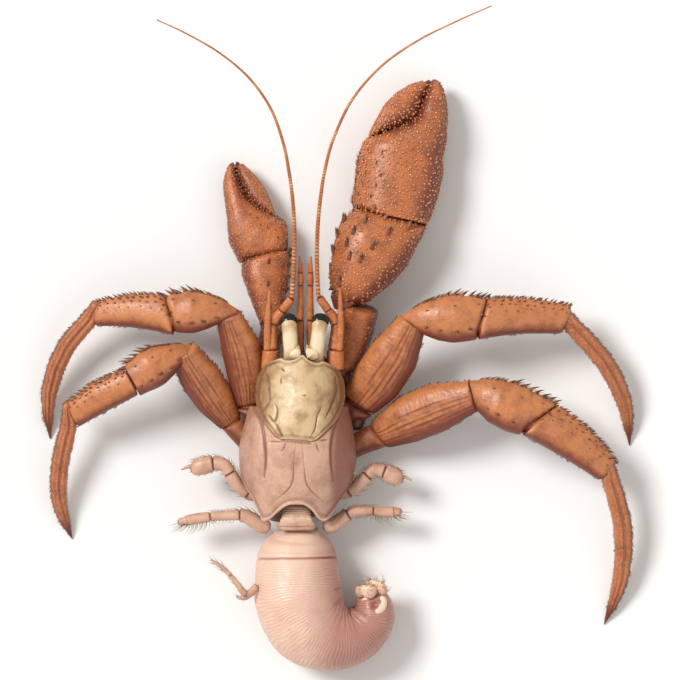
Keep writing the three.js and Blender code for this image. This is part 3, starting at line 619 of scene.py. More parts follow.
# Kinds of growth: (share of the radius, share of the height) from root to tip, sides, material, slot.
GRANULE = [(1.0, -0.35), (0.78, 0.5), (0.0, 1.0)], 6, granule_shell, "shell_red"
TAIL_GRANULE = GRANULE[0], 6, tooth_horn, "horn"
SPINE = [(1.0, -0.2), (0.72, 0.3), (0.36, 0.68), (0.0, 1.0)], 7, spine_horn, "horn"
TOOTH = [(1.0, -0.3), (1.0, 0.45), (0.7, 0.85), (0.0, 1.0)], 8, tooth_horn, "horn"
HAIR = [(1.0, -0.05), (0.8, 0.35), (0.5, 0.7), (0.0, 1.0)], 3, bristle, "horn"


# ---- shared reliefs and shades
def end_lines(body, share, *_, wide=0.34):
    """A dark line at both ends of a body, `wide` mm wide."""
    reach = wide * MM / body.length
    return 1.1 * (bump(share, 0, reach) + bump(share, 1, reach))


def rough_relief(*layers, base=0.0):
    """A relief of noise layers, each a depth and a size in mm."""
    return lambda body, s, angle: base + sum(depth * body.noise(size) for depth, size in layers)


def from_fore(angle):
    """Angles as -pi to pi from the fore edge."""
    return (angle + math.pi) % TAU - math.pi


# ---- carapace
HEM = 10.4  # height at which the carapace is widest, mm
SHIELD_TURN = math.radians(-4.2)
SHIELD_PIVOT = -12.3  # the shield leans about this place, on the midline
SHIELD_BACK = -22.7
REAR_FRONT = -15.0

# Half outline of the shield: (place along the body, half width), and its front edge: (aside, forward).
SHIELD_FLANK = [
    (-22.7, 2.9), (-22.2, 4.3), (-21.2, 5.4), (-19.9, 6.6), (-18.0, 8.3), (-16.0, 9.4), (-12.6, 10.1),
    (-9.0, 9.7), (-6.1, 8.6), (-2.0, 7.6),
]
SHIELD_FRONT = [
    (0.0, -3.35), (0.35, -3.5), (0.9, -3.95), (1.8, -4.5), (3.1, -4.85), (4.3, -4.8), (5.0, -4.5),
    (5.6, -4.55), (7.2, -5.3), (9.0, -6.4),
]
REAR_EDGE = [
    (0, -37.0), (2.4, -37.2), (5.0, -38.5), (7.0, -40.3), (8.4, -40.9), (9.6, -40.4), (11.0, -38.2),
    (12.6, -34.5), (13.4, -31.0),
]
GASTRIC_GROOVES = [
    [(-8.2, -7.6), (-7.2, -10.2), (-6.7, -14.2), (-7.9, -16.6)],
    [(-9.9, -11.8), (-9.2, -14.6), (-7.9, -16.6)],
    [(-5.5, -14.3), (-4.7, -16.2), (-5.2, -18.7), (-6.6, -17.4)],
    [(7.6, -7.8), (8.1, -11.0), (7.2, -14.6), (6.2, -17.0)],
    [(5.2, -14.6), (4.4, -16.8), (4.1, -19.4), (3.2, -21.6)],
    [(-5.2, -18.7), (-3.2, -21.9)],
]
GASTRIC_NICKS = [[(-4.7, -6.6), (-3.8, -7.4)], [(-4.5, -8.8), (-4.4, -10.2)], [(0.6, -12.4), (1.6, -12.4)]]
BRANCHIAL_GROOVES = [
    [(-10.4, -15.2), (-8.9, -18.0), (-8.1, -22.0), (-7.7, -26.5), (-8.0, -31.0)],
    [(9.6, -15.4), (8.2, -19.2), (7.3, -23.0), (7.1, -27.0), (7.6, -31.5)],
]
CARDIAC_GROOVES = [
    [(-0.9, -23.0), (-1.3, -27.4), (-1.5, -31.2), (-2.6, -33.6), (-5.8, -36.3)],
    [(0.5, -23.0), (1.1, -29.2), (1.5, -32.0), (2.9, -34.2), (5.6, -36.6)],
    [(-3.1, -23.2), (-4.0, -25.1)], [(3.6, -23.0), (4.3, -25.2)],
    [(-7.2, -22.8), (-4.4, -22.9)], [(4.4, -22.6), (6.4, -22.4)],
]


def carapace_dome():
    """The carapace's middle, half width and height above the hem, by the place along the body."""
    edges = node_edges("carapace_shield", "carapace_rear")
    found = []
    for y in np.linspace(-38.5, -6.5, 60):
        x, _y, z = cut_points(edges, (MIDLINE + FORWARD * y + UP * HEM) * MM, FORWARD).T / MM
        high = z.max() + 0.03
        low = (z > 0.1) & (z < 0.75 * high)
        reach = np.abs(x) / np.sqrt(1 - (np.clip(z, 0, 0.9 * high) / high) ** 2)
        right, left = reach[low & (x > 3)], reach[low & (x < -3)]
        if len(right) and len(left):
            found.append([y, (right.max() - left.max()) / 2, (right.max() + left.max()) / 2, high])
    found = np.array(found)
    fits = [np.polynomial.Polynomial.fit(found[:, 0], column, 5) for column in found[:, 1:].T]
    return lambda y: [fit(np.clip(y, -41, -2.5)) for fit in fits]


dome = carapace_dome()


def turned(x, y, angle):
    """Places turned about the shield's pivot."""
    c, s = math.cos(angle), math.sin(angle)
    return x * c - (y - SHIELD_PIVOT) * s, x * s + (y - SHIELD_PIVOT) * c + SHIELD_PIVOT


def flat_noise(x, y, size):
    return noise(np.stack([x, y, np.zeros_like(x)], axis=-1), size)


def shell_piece(name, x, y, lift, thickness, material, slot, mark, shade):
    """A closed shell over a grid of places (x, y) of the carapace in mm, raised by `lift` mm."""
    middle, wide, high = dome(y)
    share = np.clip((x - middle) / (wide + 0.05), -0.999, 0.999)
    z = high * np.sqrt(1 - share**2)
    normal = unit(np.stack([share / wide, np.zeros_like(x), z / np.maximum(high, 0.1) ** 2], axis=-1))
    outside = np.stack([x, y, z + HEM], axis=-1) + MIDLINE + normal * lift[..., None]
    points = np.concatenate([outside.reshape(-1, 3), (outside - normal * thickness).reshape(-1, 3)]) * MM
    index = np.arange(x.size).reshape(x.shape)
    top = np.stack([index[:-1, :-1], index[:-1, 1:], index[1:, 1:], index[1:, :-1]], axis=-1).reshape(-1, 4)
    loop = np.concatenate([index[0, :-1], index[:-1, -1], index[-1, :0:-1], index[:0:-1, 0]])
    after = np.roll(loop, -1)
    rim = np.stack([after, loop, loop + x.size, after + x.size], axis=1)
    faces = np.concatenate([top, top[:, ::-1] + x.size, rim]).tolist()
    values = {"mark": np.tile(mark.ravel(), 2), "shade": np.tile(shade.ravel(), 2)}
    new_piece(name, points, faces, material, slot, [name], **values)


def make_shield():
    across, t = np.meshgrid(np.linspace(-1, 1, 220), np.linspace(0, 1, 200))
    widest = math.pi / 2 * 0.96
    spread = np.sin(across * widest) / math.sin(widest)
    front = np.interp(np.abs(spread) * 8.8, *curved(SHIELD_FRONT, 200).T)
    back = SHIELD_BACK + 0.25 * (1 - across**2)
    y = back + (front - back) * t
    half = np.interp(y, *curved(SHIELD_FLANK, 200).T)
    x = half * spread
    inward = np.minimum(half - np.abs(x), np.minimum(y - back, front - y))
    lines = strokes(x, y, GASTRIC_GROOVES + GASTRIC_NICKS, 0.2)
    lift = -0.32 * lines - 0.12 * strokes(x, y, GASTRIC_GROOVES, 0.6) - 0.3 * np.exp(-inward / 0.12)
    lift += 0.18 * bump(inward, 0.3, 0.22) - 0.1 * bump(inward, 0.85, 0.25)
    dimpled = ramp(np.abs(x), 4.5, 7.5)
    tx, ty = turned(x, y, SHIELD_TURN)
    lift += 0.10 * flat_noise(tx, ty, 3.5) + 0.03 * flat_noise(tx, ty, 0.9)
    lift += 0.09 * dimpled * noise(np.stack([tx, ty, tx * 0], axis=-1) + 9, 0.8)
    # Painted light: the pale spot just left of the middle is a painted highlight on the dome. The shade is
    # painted shade in the grooves, towards the curving sides and in the hollow inside the rim.
    mark = 0.5 * bump(inward, 0.15, 0.2) + 0.55 * bump(np.hypot(x + 1, (y + 13) / 1.6), 0, 4.5)
    shade = 0.95 * lines + 0.55 * dimpled + 0.5 * bump(inward, 0.8, 0.35)
    shell_piece("carapace_shield", tx, ty, lift + 0.1, 0.7, shield_shell, "shell_pale", mark, shade)


def make_rear():
    """The soft rear carapace. Its front runs on under the shield, which lies on it."""
    across, t = np.meshgrid(np.linspace(-1, 1, 230), np.linspace(0, 1, 205))
    spread = np.sin(across * math.pi / 2)
    back = np.interp(np.abs(spread) * 13.4, *curved(REAR_EDGE, 200).T)
    y = back + (REAR_FRONT - back) * t
    middle, wide, _high = dome(y)
    x = middle + (wide + 0.1) * spread
    branchial = strokes(x, y, BRANCHIAL_GROOVES, 0.36)
    cardiac = strokes(x, y, CARDIAC_GROOVES, 0.18)
    hind = y - back
    lift = -0.6 * branchial - 0.28 * cardiac - 0.3 * np.exp(-hind / 0.15)
    lift += 0.24 * bump(hind, 0.4, 0.25) - 0.16 * bump(hind, 1.0, 0.3)
    lift += 0.16 * flat_noise(x, y, 4.5) + 0.05 * flat_noise(x, y * 0.4, 0.8)
    sx, sy = turned(x, y, -SHIELD_TURN)
    beyond = np.maximum(np.abs(sx) - np.interp(sy, *curved(SHIELD_FLANK, 200).T), SHIELD_BACK - sy)
    lift -= 0.55 * np.clip(0.6 - beyond, 0, 1)
    mark = 0.62 * bump(hind, 0.3, 0.25) + 0.3 * bump(np.abs(x), 4.0, 2.4)
    # Painted shade: in the grooves, as a shadow along the shield's edge, inside the hind rim, and on the
    # flanks, deepest on the right, away from the light.
    shade = 1.25 * branchial + 0.9 * cardiac + 0.7 * bump(beyond, 0.2, 0.5) + 0.4 * bump(hind, 1.3, 0.8)
    shade += np.where(x > middle, 1.3, 0.45) * ramp(np.abs(x - middle), 6.6, 10.2)
    shell_piece("carapace_rear", x, y, lift, 0.6, soft_shell, "shell_soft", mark, shade)


make_shield()
make_rear()


# ---- thorax
def body_rows(stations, count):
    """A smooth line through stations [x, y, z, width, height] in mm from the midline, as rows in
    metres with half widths."""
    rows = np.array(stations) * [1, 1, 1, 0.5, 0.5]
    return curved((rows + [*MIDLINE, 0, 0]) * MM, count)


# The roots of the limbs under the right edge of the carapace, coloured dark as painted shade. Those on the
# left mirror them.
LIMB_ROOTS = [
    (9.6, -6.0, 5.0, 2.4, 4.0), (11.0, -10.0, 5.0, 3.0, 4.5), (12.7, -16.5, 5.0, 4.4, 4.5),
    (12.4, -20.5, 5.0, 3.0, 4.0),
]


def make_thorax():
    rows = measured("thorax", "antennule_left", "left")
    sunken = np.interp(-rows[:, 1], np.array([30, 34, 37, 40]) * MM, np.array([0, 2.5, 6, 7]) * MM)
    rows[:, 2] -= sunken
    rows[:, 4] -= sunken * 0.4
    uneven = rough_relief((0.15, 3.0), base=-0.1)
    bodies = [Body(rows, around=64, square=2.7, root=2.0, tip=2.0, relief=uneven)]
    for aside in (1, -1):
        line = body_rows(np.array(LIMB_ROOTS) * [aside, 1, 1, 1, 1], 40)
        bodies.append(Body(line, step=0.3, around=32, root=1.0, tip=1.0))
    # Painted shade: the top of the thorax lies in shadow under the carapace and is coloured dark.
    painted_shade_above = lambda b, share, turn, _: 1.2 * ramp(turn, 0.5, 0.45)
    build("thorax", bodies, shaded_membrane, "shell_soft", shade=painted_shade_above)


make_thorax()


# ---- eyes, feelers and mouth
# Leaf-shaped scales beside the roots of the eyestalks: [x, y, z, half width, half height] in mm.
OCULAR_SCALES = {
    "left": [
        (-9.6, -4.7, 18.6, 1.0, 0.4), (-9.4, -3.7, 18.8, 1.35, 0.45), (-8.9, -2.5, 18.9, 0.8, 0.4),
        (-8.6, -1.3, 18.8, 0.12, 0.2),
    ],
    "right": [
        (-5.4, -4.7, 18.6, 1.0, 0.4), (-5.5, -3.7, 18.8, 1.35, 0.45), (-6.3, -2.5, 18.9, 0.85, 0.4),
        (-6.8, -1.1, 18.8, 0.12, 0.2),
    ],
}
# The stout root of each feeler and the spike beside it, in the same way.
PEDUNCLES = {
    "left": [
        (-15.1, -7.0, 13.9, 1.8, 1.7), (-14.9, -2.9, 14.4, 1.7, 1.6), (-14.6, 3.1, 15.0, 1.3, 1.2),
        (-12.2, 6.5, 16.2, 0.95, 0.95), (-10.1, 9.4, 17.4, 0.9, 0.9),
    ],
    "right": [
        (-0.4, -7.0, 13.9, 1.7, 1.7), (-0.4, -2.9, 14.4, 1.7, 1.6), (-0.1, 3.1, 15.0, 1.3, 1.2),
        (-2.1, 6.7, 16.2, 0.95, 0.95), (-4.1, 9.6, 17.4, 0.9, 0.9),
    ],
}
ACICLES = {
    "left": [(-15.7, -2.7, 15.6, 0.8, 0.6), (-15.6, 3.9, 16.6, 0.7, 0.55), (-15.1, 11.5, 17.8, 0.24, 0.24)],
    "right": [(0.4, -2.7, 15.6, 0.8, 0.6), (0.8, 3.9, 16.6, 0.7, 0.55), (0.6, 11.9, 17.8, 0.24, 0.24)],
}
STALK_ASIDE = {"left": 0.12, "right": 0.3}  # how far in mm each stalk is moved to the right


def pale_middle(body, share, *_):
    return 0.9 * np.clip(1 - np.abs(2 * share - 1), 0, 1)


def pale_limb(body, share, *_):
    return 0.12 + 0.26 * np.sin(math.pi * share)


def make_eye(side):
    rows, axis = sliced(f"eyestalk_{side}", "thorax", side)
    rows *= [1, 1, 1, 1.14, 1.06]
    rows[:, 0] += STALK_ASIDE[side] * MM
    stalk = Body(
        rows, side, step=0.15, around=48, square=2.3, root=0.6, tip=2.0, axis=axis, stretch=(0.0, 0.9),
        relief=rough_relief((0.04, 1.2)),
    )
    # The stalk is darker at its root and underneath: painted shade where it meets the head and below it.
    build(
        f"eyestalk_{side}", [stalk], shield_shell, "shell_pale", pale_middle,
        lambda b, share, turn, _: bump(share, 0.0, 0.12) + 0.5 * (np.abs(turn - 0.75) < 0.24),
    )
    ahead = stalk.along[-1]
    end = stalk.places[-1] + (ahead * 0.75 - UP * 0.2) * MM
    line = end - ahead * 3.2 * MM * np.linspace(1, 0, 12)[:, None]
    rows = np.column_stack([line, np.tile([2.0 * MM, 1.7 * MM], (12, 1))])
    eye = Body(rows, side, step=0.08, around=64, square=2.1, root=1.3, tip=2.1)
    build(f"eye_{side}", [eye], cornea, "cornea")
    scale = Body(curved(OCULAR_SCALES[side], 40) * MM, side, step=0.1, root=0.8)
    build(f"ocular_scale_{side}", [scale], shield_shell, "shell_pale", pale_middle, nodes=())


def ring_lines(body, share):
    """1 at the joints between the short rings of a lash, 0 between them."""
    pitch = 0.95 - 0.45 * share
    return 1 - np.abs(np.sin(math.pi * share * body.length / MM / pitch)) ** 0.5


def ringed(body, s, angle):
    return -0.30 * body.half[:, :1] / MM * ring_lines(body, s / (body.length / MM)) * np.ones_like(angle)


def make_feelers(side):
    rows = measured(f"antennule_{side}", "thorax", side, soften=0.8)
    rows[:, 0] += STALK_ASIDE[side] * 0.8 * MM
    cuts = ((0.0, 0.38, 1.3), (0.37, 0.72, 1.35), (0.71, 0.85, 1.5))
    parts = [part_of(rows, *cut, side=side) for cut in cuts]
    tip = resampled(rows, np.array([0.83, 0.9, 1.0]))
    for aside, reach, wide in ((-0.15, 1.0, 0.5), (0.4, 0.6, 0.36)):
        lash = tip[0] + (tip - tip[0]) * reach
        lash[:, 0] += SIDES[side] * aside * MM * np.array([0.6, 1.0, 1.2])
        lash[:, 3:] = wide * np.array([[1], [0.8], [0.25]]) * MM
        parts.append(Body(curved(lash, 24), side, step=0.12, around=16, root=0.1, tip=0.15, relief=ringed))
    build(f"antennule_{side}", parts, feeler_shell, "feeler", pale_limb, end_lines)

    near_name, far_name = f"antenna_near_{side}", f"antenna_far_{side}"
    near, far = measured(near_name, "thorax", side), measured(far_name, near_name, side)
    rows = curved(np.concatenate([near[::8], far[4::8], far[-1:]]), 300)
    shares = np.linspace(0, 1, 300)
    other = "left" if side == "right" else "right"
    rows[:, 0] += STALK_ASIDE[other] * MM * bump(shares, 0.3, 0.3)
    rows[:, 3:] = np.interp(shares, [0, 0.25, 0.6, 1], [0.55, 0.50, 0.36, 0.15])[:, None] * MM
    lash = Body(rows, side, step=0.1, around=10, square=2, root=0.2, tip=0.4, relief=ringed)
    build(
        f"antenna_{side}", [lash], feeler_shell, "feeler",
        lambda b, share, *_: 0.42 + 0.12 * np.sin(share * 60) - 0.42 * ring_lines(b, share),
        lambda b, share, *_: 1.1 * ring_lines(b, share), [near_name, far_name],
    )


def make_antenna_base(side):
    rows = curved(PEDUNCLES[side], 80) * MM
    cuts = ((0.0, 0.27, 1.12), (0.25, 0.60, 1.02), (0.58, 0.80, 1.1), (0.78, 1.0, 1.05))
    parts = [part_of(rows, *cut, tip=0.5, side=side, root=0.6) for cut in cuts]
    acicle = Body(curved(ACICLES[side], 40) * MM, side, step=0.15, around=24, root=0.7)
    build(f"antenna_base_{side}", [*parts, acicle], feeler_shell, "shell_red", pale_limb, end_lines)
    hairs = Growth(HAIR)
    u, a = rng.uniform(0.35, 0.97, 40), rng.normal(0.0, 0.4, 40)
    hairs.add(acicle, u, a, 0.035, rng.uniform(0.6, 1.3, 40), lean=1.4, droop=0.2)
    u, a = rng.uniform(0.5, 0.97, 24), rng.uniform(0, math.pi, 24)
    hairs.add(parts[1], u, a, 0.035, rng.uniform(0.5, 1.0, 24), lean=1.4, droop=0.2)
    hairs.make(f"bristles_antenna_{side}")


def make_mouth(side):
    palp = part_of(measured(f"maxilliped_{side}", "thorax", side), 0, 0.84, tip=0.5, side=side)
    # The palp is dark all over: painted shade, as it lies in shadow under the head.
    build(f"maxilliped_{side}", [palp], soft_shell, "shell_red", shade=1.0)
    hairs = Growth(HAIR)
    u, a = rng.uniform(0.3, 0.97, 90), rng.uniform(0, TAU, 90)
    hairs.add(palp, u, a, 0.035, rng.uniform(0.7, 1.5, 90), lean=1.2, droop=0.3)
    hairs.make(f"bristles_mouth_{side}")


for side in SIDES:
    make_eye(side)
    make_feelers(side)
    make_antenna_base(side)
    make_mouth(side)


# ---- claws
def rear_part(turn, start, end):
    """1 behind the top of a limb, from turn `start` to `end`, and underneath."""
    return ramp(turn, start, end) * ramp(turn, 0.92, 0.82)


def make_claw(side):
    big = side == "right"
    names = [f"claw_{part}_{side}" for part in ("hip", "merus", "carpus", "palm", "finger")]
    lumpy = {"relief": rough_relief((0.10, 3.4), (0.04, 1.1))}
    wrinkled = rough_relief((0.08, 1.6))
    options = (
        {},
        {"around": 64, "root": 0.3, "tip": 0.25, "stretch": (0.3, 0.6), "relief": lambda b, s, a:
            wrinkled(b, s, a) + 0.05 * np.sin(s * 5.5 + 2 * np.cos(a * 3))},
        {"spines": 5, "around": 90, "square": 2.3, "root": 0.7, "tip": 0.22, "stretch": (0.2, 0.12), **lumpy},
        {"chord": (0.06, 0.45), "around": 96, "square": 2.25, "root": 0.22, "tip": 0.22,
         "stretch": (0.12, 0.12), **lumpy},
        {"around": 72, "step": 0.2, "root": 0.2, "tip": 0.4, "stretch": (0.35, 0.0), **lumpy},
    )
    bodies = hip, merus, carpus, palm, finger = limb(names, options, side)

    def palm_shade(body, share, turn, _points):
        """Darker towards the outer margin and below and beside the cutting edge, as painted shade, and at the
        ends, as dark joint lines.
        """
        outer = ramp(turn, 0.31, 0.43) * (turn < 0.8)
        cutting = bump((turn + 0.5) % 1, 0.56, 0.13) * ramp(share, 0.55, 0.65) * (body is palm)
        return 1.1 * outer + 1.3 * cutting + 0.9 * end_lines(body, share)

    def finger_shade(body, share, turn, _points):
        # Painted shade in a band along the cutting edge, where the finger faces the fixed finger; dark joint
        # lines at the ends.
        return 1.5 * bump(turn, 0.46, 0.19) * ramp(share, 0, 0.2) + 0.9 * end_lines(body, share)

    for name, body, shade in zip(names, bodies, (0.0, palm_shade, palm_shade, palm_shade, finger_shade)):
        build(name, [body], claw_shell, "shell_red", shade=shade)
    plugs = [plug(hip, merus), plug(merus, carpus), plug(carpus, palm)]
    plugs.append(plug(palm, finger, 4.2 if big else 2.8, 0.5))
    build(f"skin_claw_{side}", plugs, claw_shell, "shell_soft", shade=0.7, nodes=())

    size = 1.0 if big else 0.66
    granules, spines, teeth, hairs = Growth(GRANULE), Growth(SPINE), Growth(TOOTH), Growth(HAIR)
    for body, pitch in ((palm, 0.98), (finger, 0.84), (carpus, 1.05)):
        u, a = body.scattered(pitch * (1 if big else 0.8), (0.02, 0.985), (-0.06, 0.62), 0.93)
        width = 0.27 * size * (0.75 + 0.5 * rng.random(len(u)))
        granules.add(body, u, a, width, width * 1.25, lean=0.35)
    u, a = merus.scattered(1.0, (0.1, 0.95), (0.0, 0.5), 0.7)
    granules.add(merus, u, a, 0.2 * size, 0.2 * size, lean=0.6)
    for body, turn, start, end, count, wide, high, lean in (
        (palm, 0.5, 0.03, 0.985, 62 if big else 44, 0.29, 0.42, 0.2),
        (palm, 0.0, 0.05, 0.5, 22, 0.29, 0.42, 0.2), (finger, 0.0, 0.05, 0.95, 34, 0.3, 0.45, 0.3),
    ):
        granules.add(body, np.linspace(start, end, count), turn * TAU, wide * size, high * size, lean)
    u = np.linspace(0.12, 0.985, 17 if big else 16)
    for turn in (0.46, 0.5, 0.54):
        teeth.add(finger, u + (turn - 0.5) * 0.4, turn * TAU, 0.55 * size, 1.0 * size, lean=0.1)

    rows = ((0.12, 0.3, 0.9, 4), (0.24, 0.2, 0.94, 4))
    if big:
        rows = ((0.15, 0.36, 0.88, 5), (0.25, 0.36, 0.84, 4), (0.2, 0.12, 0.3, 2))
    for turn, start, end, count in rows:
        u = np.linspace(start, end, count) + rng.normal(0, 0.012, count)
        a = (turn + rng.normal(0, 0.008, count)) * TAU
        spines.add(carpus, u, a, 0.6 * size, 2.0 * size, lean=1.6, swing=0.8 if big else 0.0)
    a = np.linspace(0.04, 0.46, 12) * TAU
    spines.add(carpus, rng.uniform(0.03, 0.06, 12), a, 0.45 * size, 0.9 * size, lean=-0.3)
    for turn in (-0.02, 0.05):
        u = np.linspace(0.14, 0.97, 8 if big else 7)
        spines.add(carpus, u, turn * TAU, 0.52 * size, 2.1 * size, lean=1.0)
    spines.add(palm, np.linspace(0.04, 0.42, 8), 0.04 * TAU, 0.36 * size, 1.1 * size, lean=1.4)
    for turn in (0.1, 0.17):
        a = (turn + 0.014 * np.sin(2.1 * np.arange(7))) * TAU
        spines.add(palm, np.linspace(0.05, 0.45, 7), a, 0.3 * size, 0.8 * size, lean=1.5)
    tuft = {"each": 4, "droop": 0.4, "ragged": 0.02, "spread": (0.9, 1.9), "swing": 0.25, "ends": (0, 1.1)}
    for body, start, end, turn, count in (
        (carpus, 0.1, 0.97, 0.0, 44), (carpus, 0.93, 0.99, 0.07, 30), (palm, 0.01, 0.05, 0.08, 26),
        (palm, 0.03, 0.4, 0.02, 20), (merus, 0.4, 0.97, 0.05, 20),
    ):
        hairs.strew(body, turn, start, end, count, 0.06, size, 1.2, **tuft)
    for growth, kind in ((granules, "granules"), (spines, "spines"), (teeth, "teeth"), (hairs, "bristles")):
        growth.make(f"{kind}_claw_{side}")


make_claw("right")
make_claw("left")


# ---- walking legs
def keeled(height, narrow=0.4):
    """A relief with a low keel along the fore edge, and a lower one along the other edge."""
    def relief(body, s, angle):
        turned_by = np.abs(from_fore(angle))
        keel = bump(turned_by, 0, narrow) + 0.4 * bump(turned_by, math.pi, narrow)
        return height * keel + 0.05 * body.noise(2.4)
    return relief


def merus_relief(body, s, angle):
    """Short wavy wrinkles across the fore face, fine lengthwise lines behind them."""
    turned_by = from_fore(angle)
    wave = s / 1.15 + 0.7 * body.noise(2.2) + 0.5 * np.cos(2 * angle)
    wrinkles = np.maximum(np.sin(TAU * wave), 0) ** 3 * 0.06
    fore = np.clip(1.15 - np.abs(turned_by - 0.75) / 0.95, 0, 1)
    lines = 0.10 * np.sin(30 * angle) * np.clip(np.abs(turned_by) / 1.2 - 0.8, 0, 1)
    return wrinkles * fore + lines + 0.16 * bump(turned_by, 0, 0.3)


def dactyl_relief(body, s, angle):
    """Two lengthwise grooves on each face, which fade out near the tip."""
    share, fore = s / (body.length / MM), np.cos(angle)
    grooves = bump(fore, 0.34, 0.17) + 0.8 * bump(fore, -0.30, 0.15)
    faces = (0.16 * bump(fore, 0.02, 0.14) - 0.34 * grooves) * (np.abs(np.sin(angle)) > 0.3)
    return faces * ramp(share, 0, 0.06) * ramp(share, 1, 0.8) + 0.02 * body.noise(0.8)


def dactyl_mark(_body, share, turn, _points):
    """Cream stripes along the faces of the claw-like last piece."""
    fore = np.cos(turn * TAU)
    return 0.4 * np.clip(bump(fore, 0.34, 0.2) + bump(fore, -0.32, 0.2), 0, 1) * ramp(share, 0.8, 0.6)


def dactyl_shade(_body, share, turn, _points):
    """Dark horn at the tip, along the fore edge and in a line along the middle of each face."""
    fore = np.cos(turn * TAU)
    line = bump(fore, 0.0, 0.1) * ramp(share, 0.8, 0.6) * (share > 0.08)
    return ramp(share, 0.78, 0.94) + 0.9 * bump(fore, 1.0, 0.25) + 0.7 * line


def leg_shade(body, share, turn, _points=None):
    """Darker along the rear edge and below, as painted shade, and at the ends, as dark joint lines."""
    return 1.2 * rear_part(turn, 0.29, 0.43) + 1.2 * end_lines(body, share, wide=0.5)


def merus_shade(body, share, turn, _points):
    """A darker tone with fine dark lengthwise lines, partly striae and partly painted shade, behind a plain
    band along the fore edge, over the painted shade of leg_shade.
    """
    lines = np.maximum(np.sin(30 * turn * TAU + 0.6 * np.sin(9 * share)), 0) ** 2
    return 0.7 * leg_shade(body, share, turn) + rear_part(turn, 0.16, 0.20) * (0.22 + 0.6 * lines)


LEG_PARTS = ("hip", "merus", "carpus", "propodus", "dactyl")
# Rows of spines: piece, turn, first and last share of its length, count, radius, height, lean.
LEG_SPINES = (
    ("carpus", 0.0, 0.5, 0.97, 7, 0.38, 2.3, 1.1), ("carpus", 0.0, 0.15, 0.5, 8, 0.26, 1.2, 1.1),
    ("carpus", 0.035, 0.3, 0.97, 10, 0.26, 1.0, 1.25), ("carpus", 0.33, 0.25, 0.88, 5, 0.36, 0.9, 1.4),
    ("carpus", 0.16, 0.3, 0.85, 3, 0.24, 0.5, 1.2), ("propodus", -0.01, 0.03, 0.97, 24, 0.26, 1.0, 0.8),
    ("propodus", 0.045, 0.05, 0.97, 15, 0.30, 0.9, 1.0), ("propodus", 0.10, 0.08, 0.95, 13, 0.30, 0.8, 1.1),
    ("propodus", 0.15, 0.1, 0.95, 11, 0.24, 0.55, 1.1), ("propodus", 0.20, 0.2, 0.9, 7, 0.18, 0.32, 1.1),
    ("dactyl", 0.0, 0.03, 0.93, 34, 0.15, 0.48, 1.2), ("dactyl", 0.5, 0.12, 0.93, 24, 0.10, 0.30, 1.2),
    ("merus", 0.0, 0.1, 0.97, 14, 0.2, 0.5, 1.0),
)
# Tufts of hairs: piece, turn, first and last share of its length, count, length, hairs in each.
LEG_TUFTS = (
    ("carpus", 0.0, 0.15, 0.98, 40, 1.7, 3), ("propodus", 0.0, 0.02, 0.98, 40, 1.3, 3),
    ("propodus", 0.5, 0.1, 0.98, 14, 0.7, 3), ("merus", 0.0, 0.1, 0.96, 22, 0.9, 3),
    ("merus", 0.5, 0.5, 0.98, 10, 0.9, 3), ("dactyl", 0.0, 0.04, 0.9, 40, 0.8, 2),
    ("dactyl", 0.5, 0.1, 0.9, 34, 0.6, 2),
)


def make_leg(pair, side):
    leg = f"{pair}_{side}"
    names = [f"{leg}_{part}" for part in LEG_PARTS]
    flush = {"root": 0.2, "tip": 0.2, "stretch": (0.12, 0.12)}
    options = (
        {"relief": keeled(0.1), **flush},
        {"around": 80, "step": 0.22, "square": 2.35, "relief": merus_relief, "root": 0.2,
         "stretch": (0.12, 0.2)},
        {"spines": 4, "around": 56, "square": 2.35, "relief": keeled(0.2), "root": 0.35, "tip": 0.2,
         "stretch": (0.3, 0.12)},
        {"around": 56, "square": 2.5, "relief": keeled(0.15), **flush},
    )
    stiff_bodies = hip, merus, carpus, propodus = limb(names[:4], options, side)
    rows = measured(names[4], names[3], side)
    rows[-6:, 3:] *= np.linspace(1, 0.3, 6)[:, None]
    dactyl = Body(
        rows, side, around=72, step=0.3, hold=(2.4, 0.0), root=0.8, tip=0.35, relief=dactyl_relief,
        stretch=(1.2, 0.0),
    )

    def hip_shade(*place):
        # Painted shade: the hips lie in shadow under the carapace, leg2's deepest.
        return leg_shade(*place) + (1.2 if pair == "leg2" else 0.5)

    for name, body, shade in zip(names, stiff_bodies, (hip_shade, merus_shade, leg_shade, leg_shade)):
        build(name, [body], leg_shell, "shell_red", shade=shade)
    build(names[4], [dactyl], dactyl_shell, "horn", dactyl_mark, dactyl_shade)
    plugs = [plug(hip, merus), plug(merus, carpus, 1.6), plug(carpus, propodus)]
    build(f"skin_{leg}", plugs, leg_shell, "shell_soft", shade=0.6, nodes=())

    spines, hairs = Growth(SPINE), Growth(HAIR)
    bodies = dict(zip(LEG_PARTS, (*stiff_bodies, dactyl)))
    for part, *numbers in LEG_SPINES:
        spines.strew(bodies[part], *numbers)
    tuft = {"droop": 0.35, "ragged": 0.012, "spread": (0.6, 1.15), "swing": 0.25}
    for part, turn, start, end, count, length, each in LEG_TUFTS:
        hairs.strew(bodies[part], turn, start, end, count, 0.055, length, 1.1, each=each, **tuft)
    spines.make(f"spines_{leg}")
    hairs.make(f"bristles_{leg}")


for pair in ("leg2", "leg3"):
    for side in SIDES:
        make_leg(pair, side)


# ---- small legs
# Segments: first and last share of the limb, plumpness, length in mm of the rounded end.
FOURTH_CUTS = ((0.0, 0.2, 1.12, 0.3), (0.19, 0.47, 1.1, 0.3), (0.46, 0.68, 1.12, 0.3), (0.67, 0.91, 1.3, 1.5))
FIFTH_CUTS = ((0.0, 0.36, 1.2, 0.3), (0.35, 0.66, 1.12, 0.3), (0.65, 0.91, 1.15, 0.3), (0.88, 1.0, 1.15, 0.9))


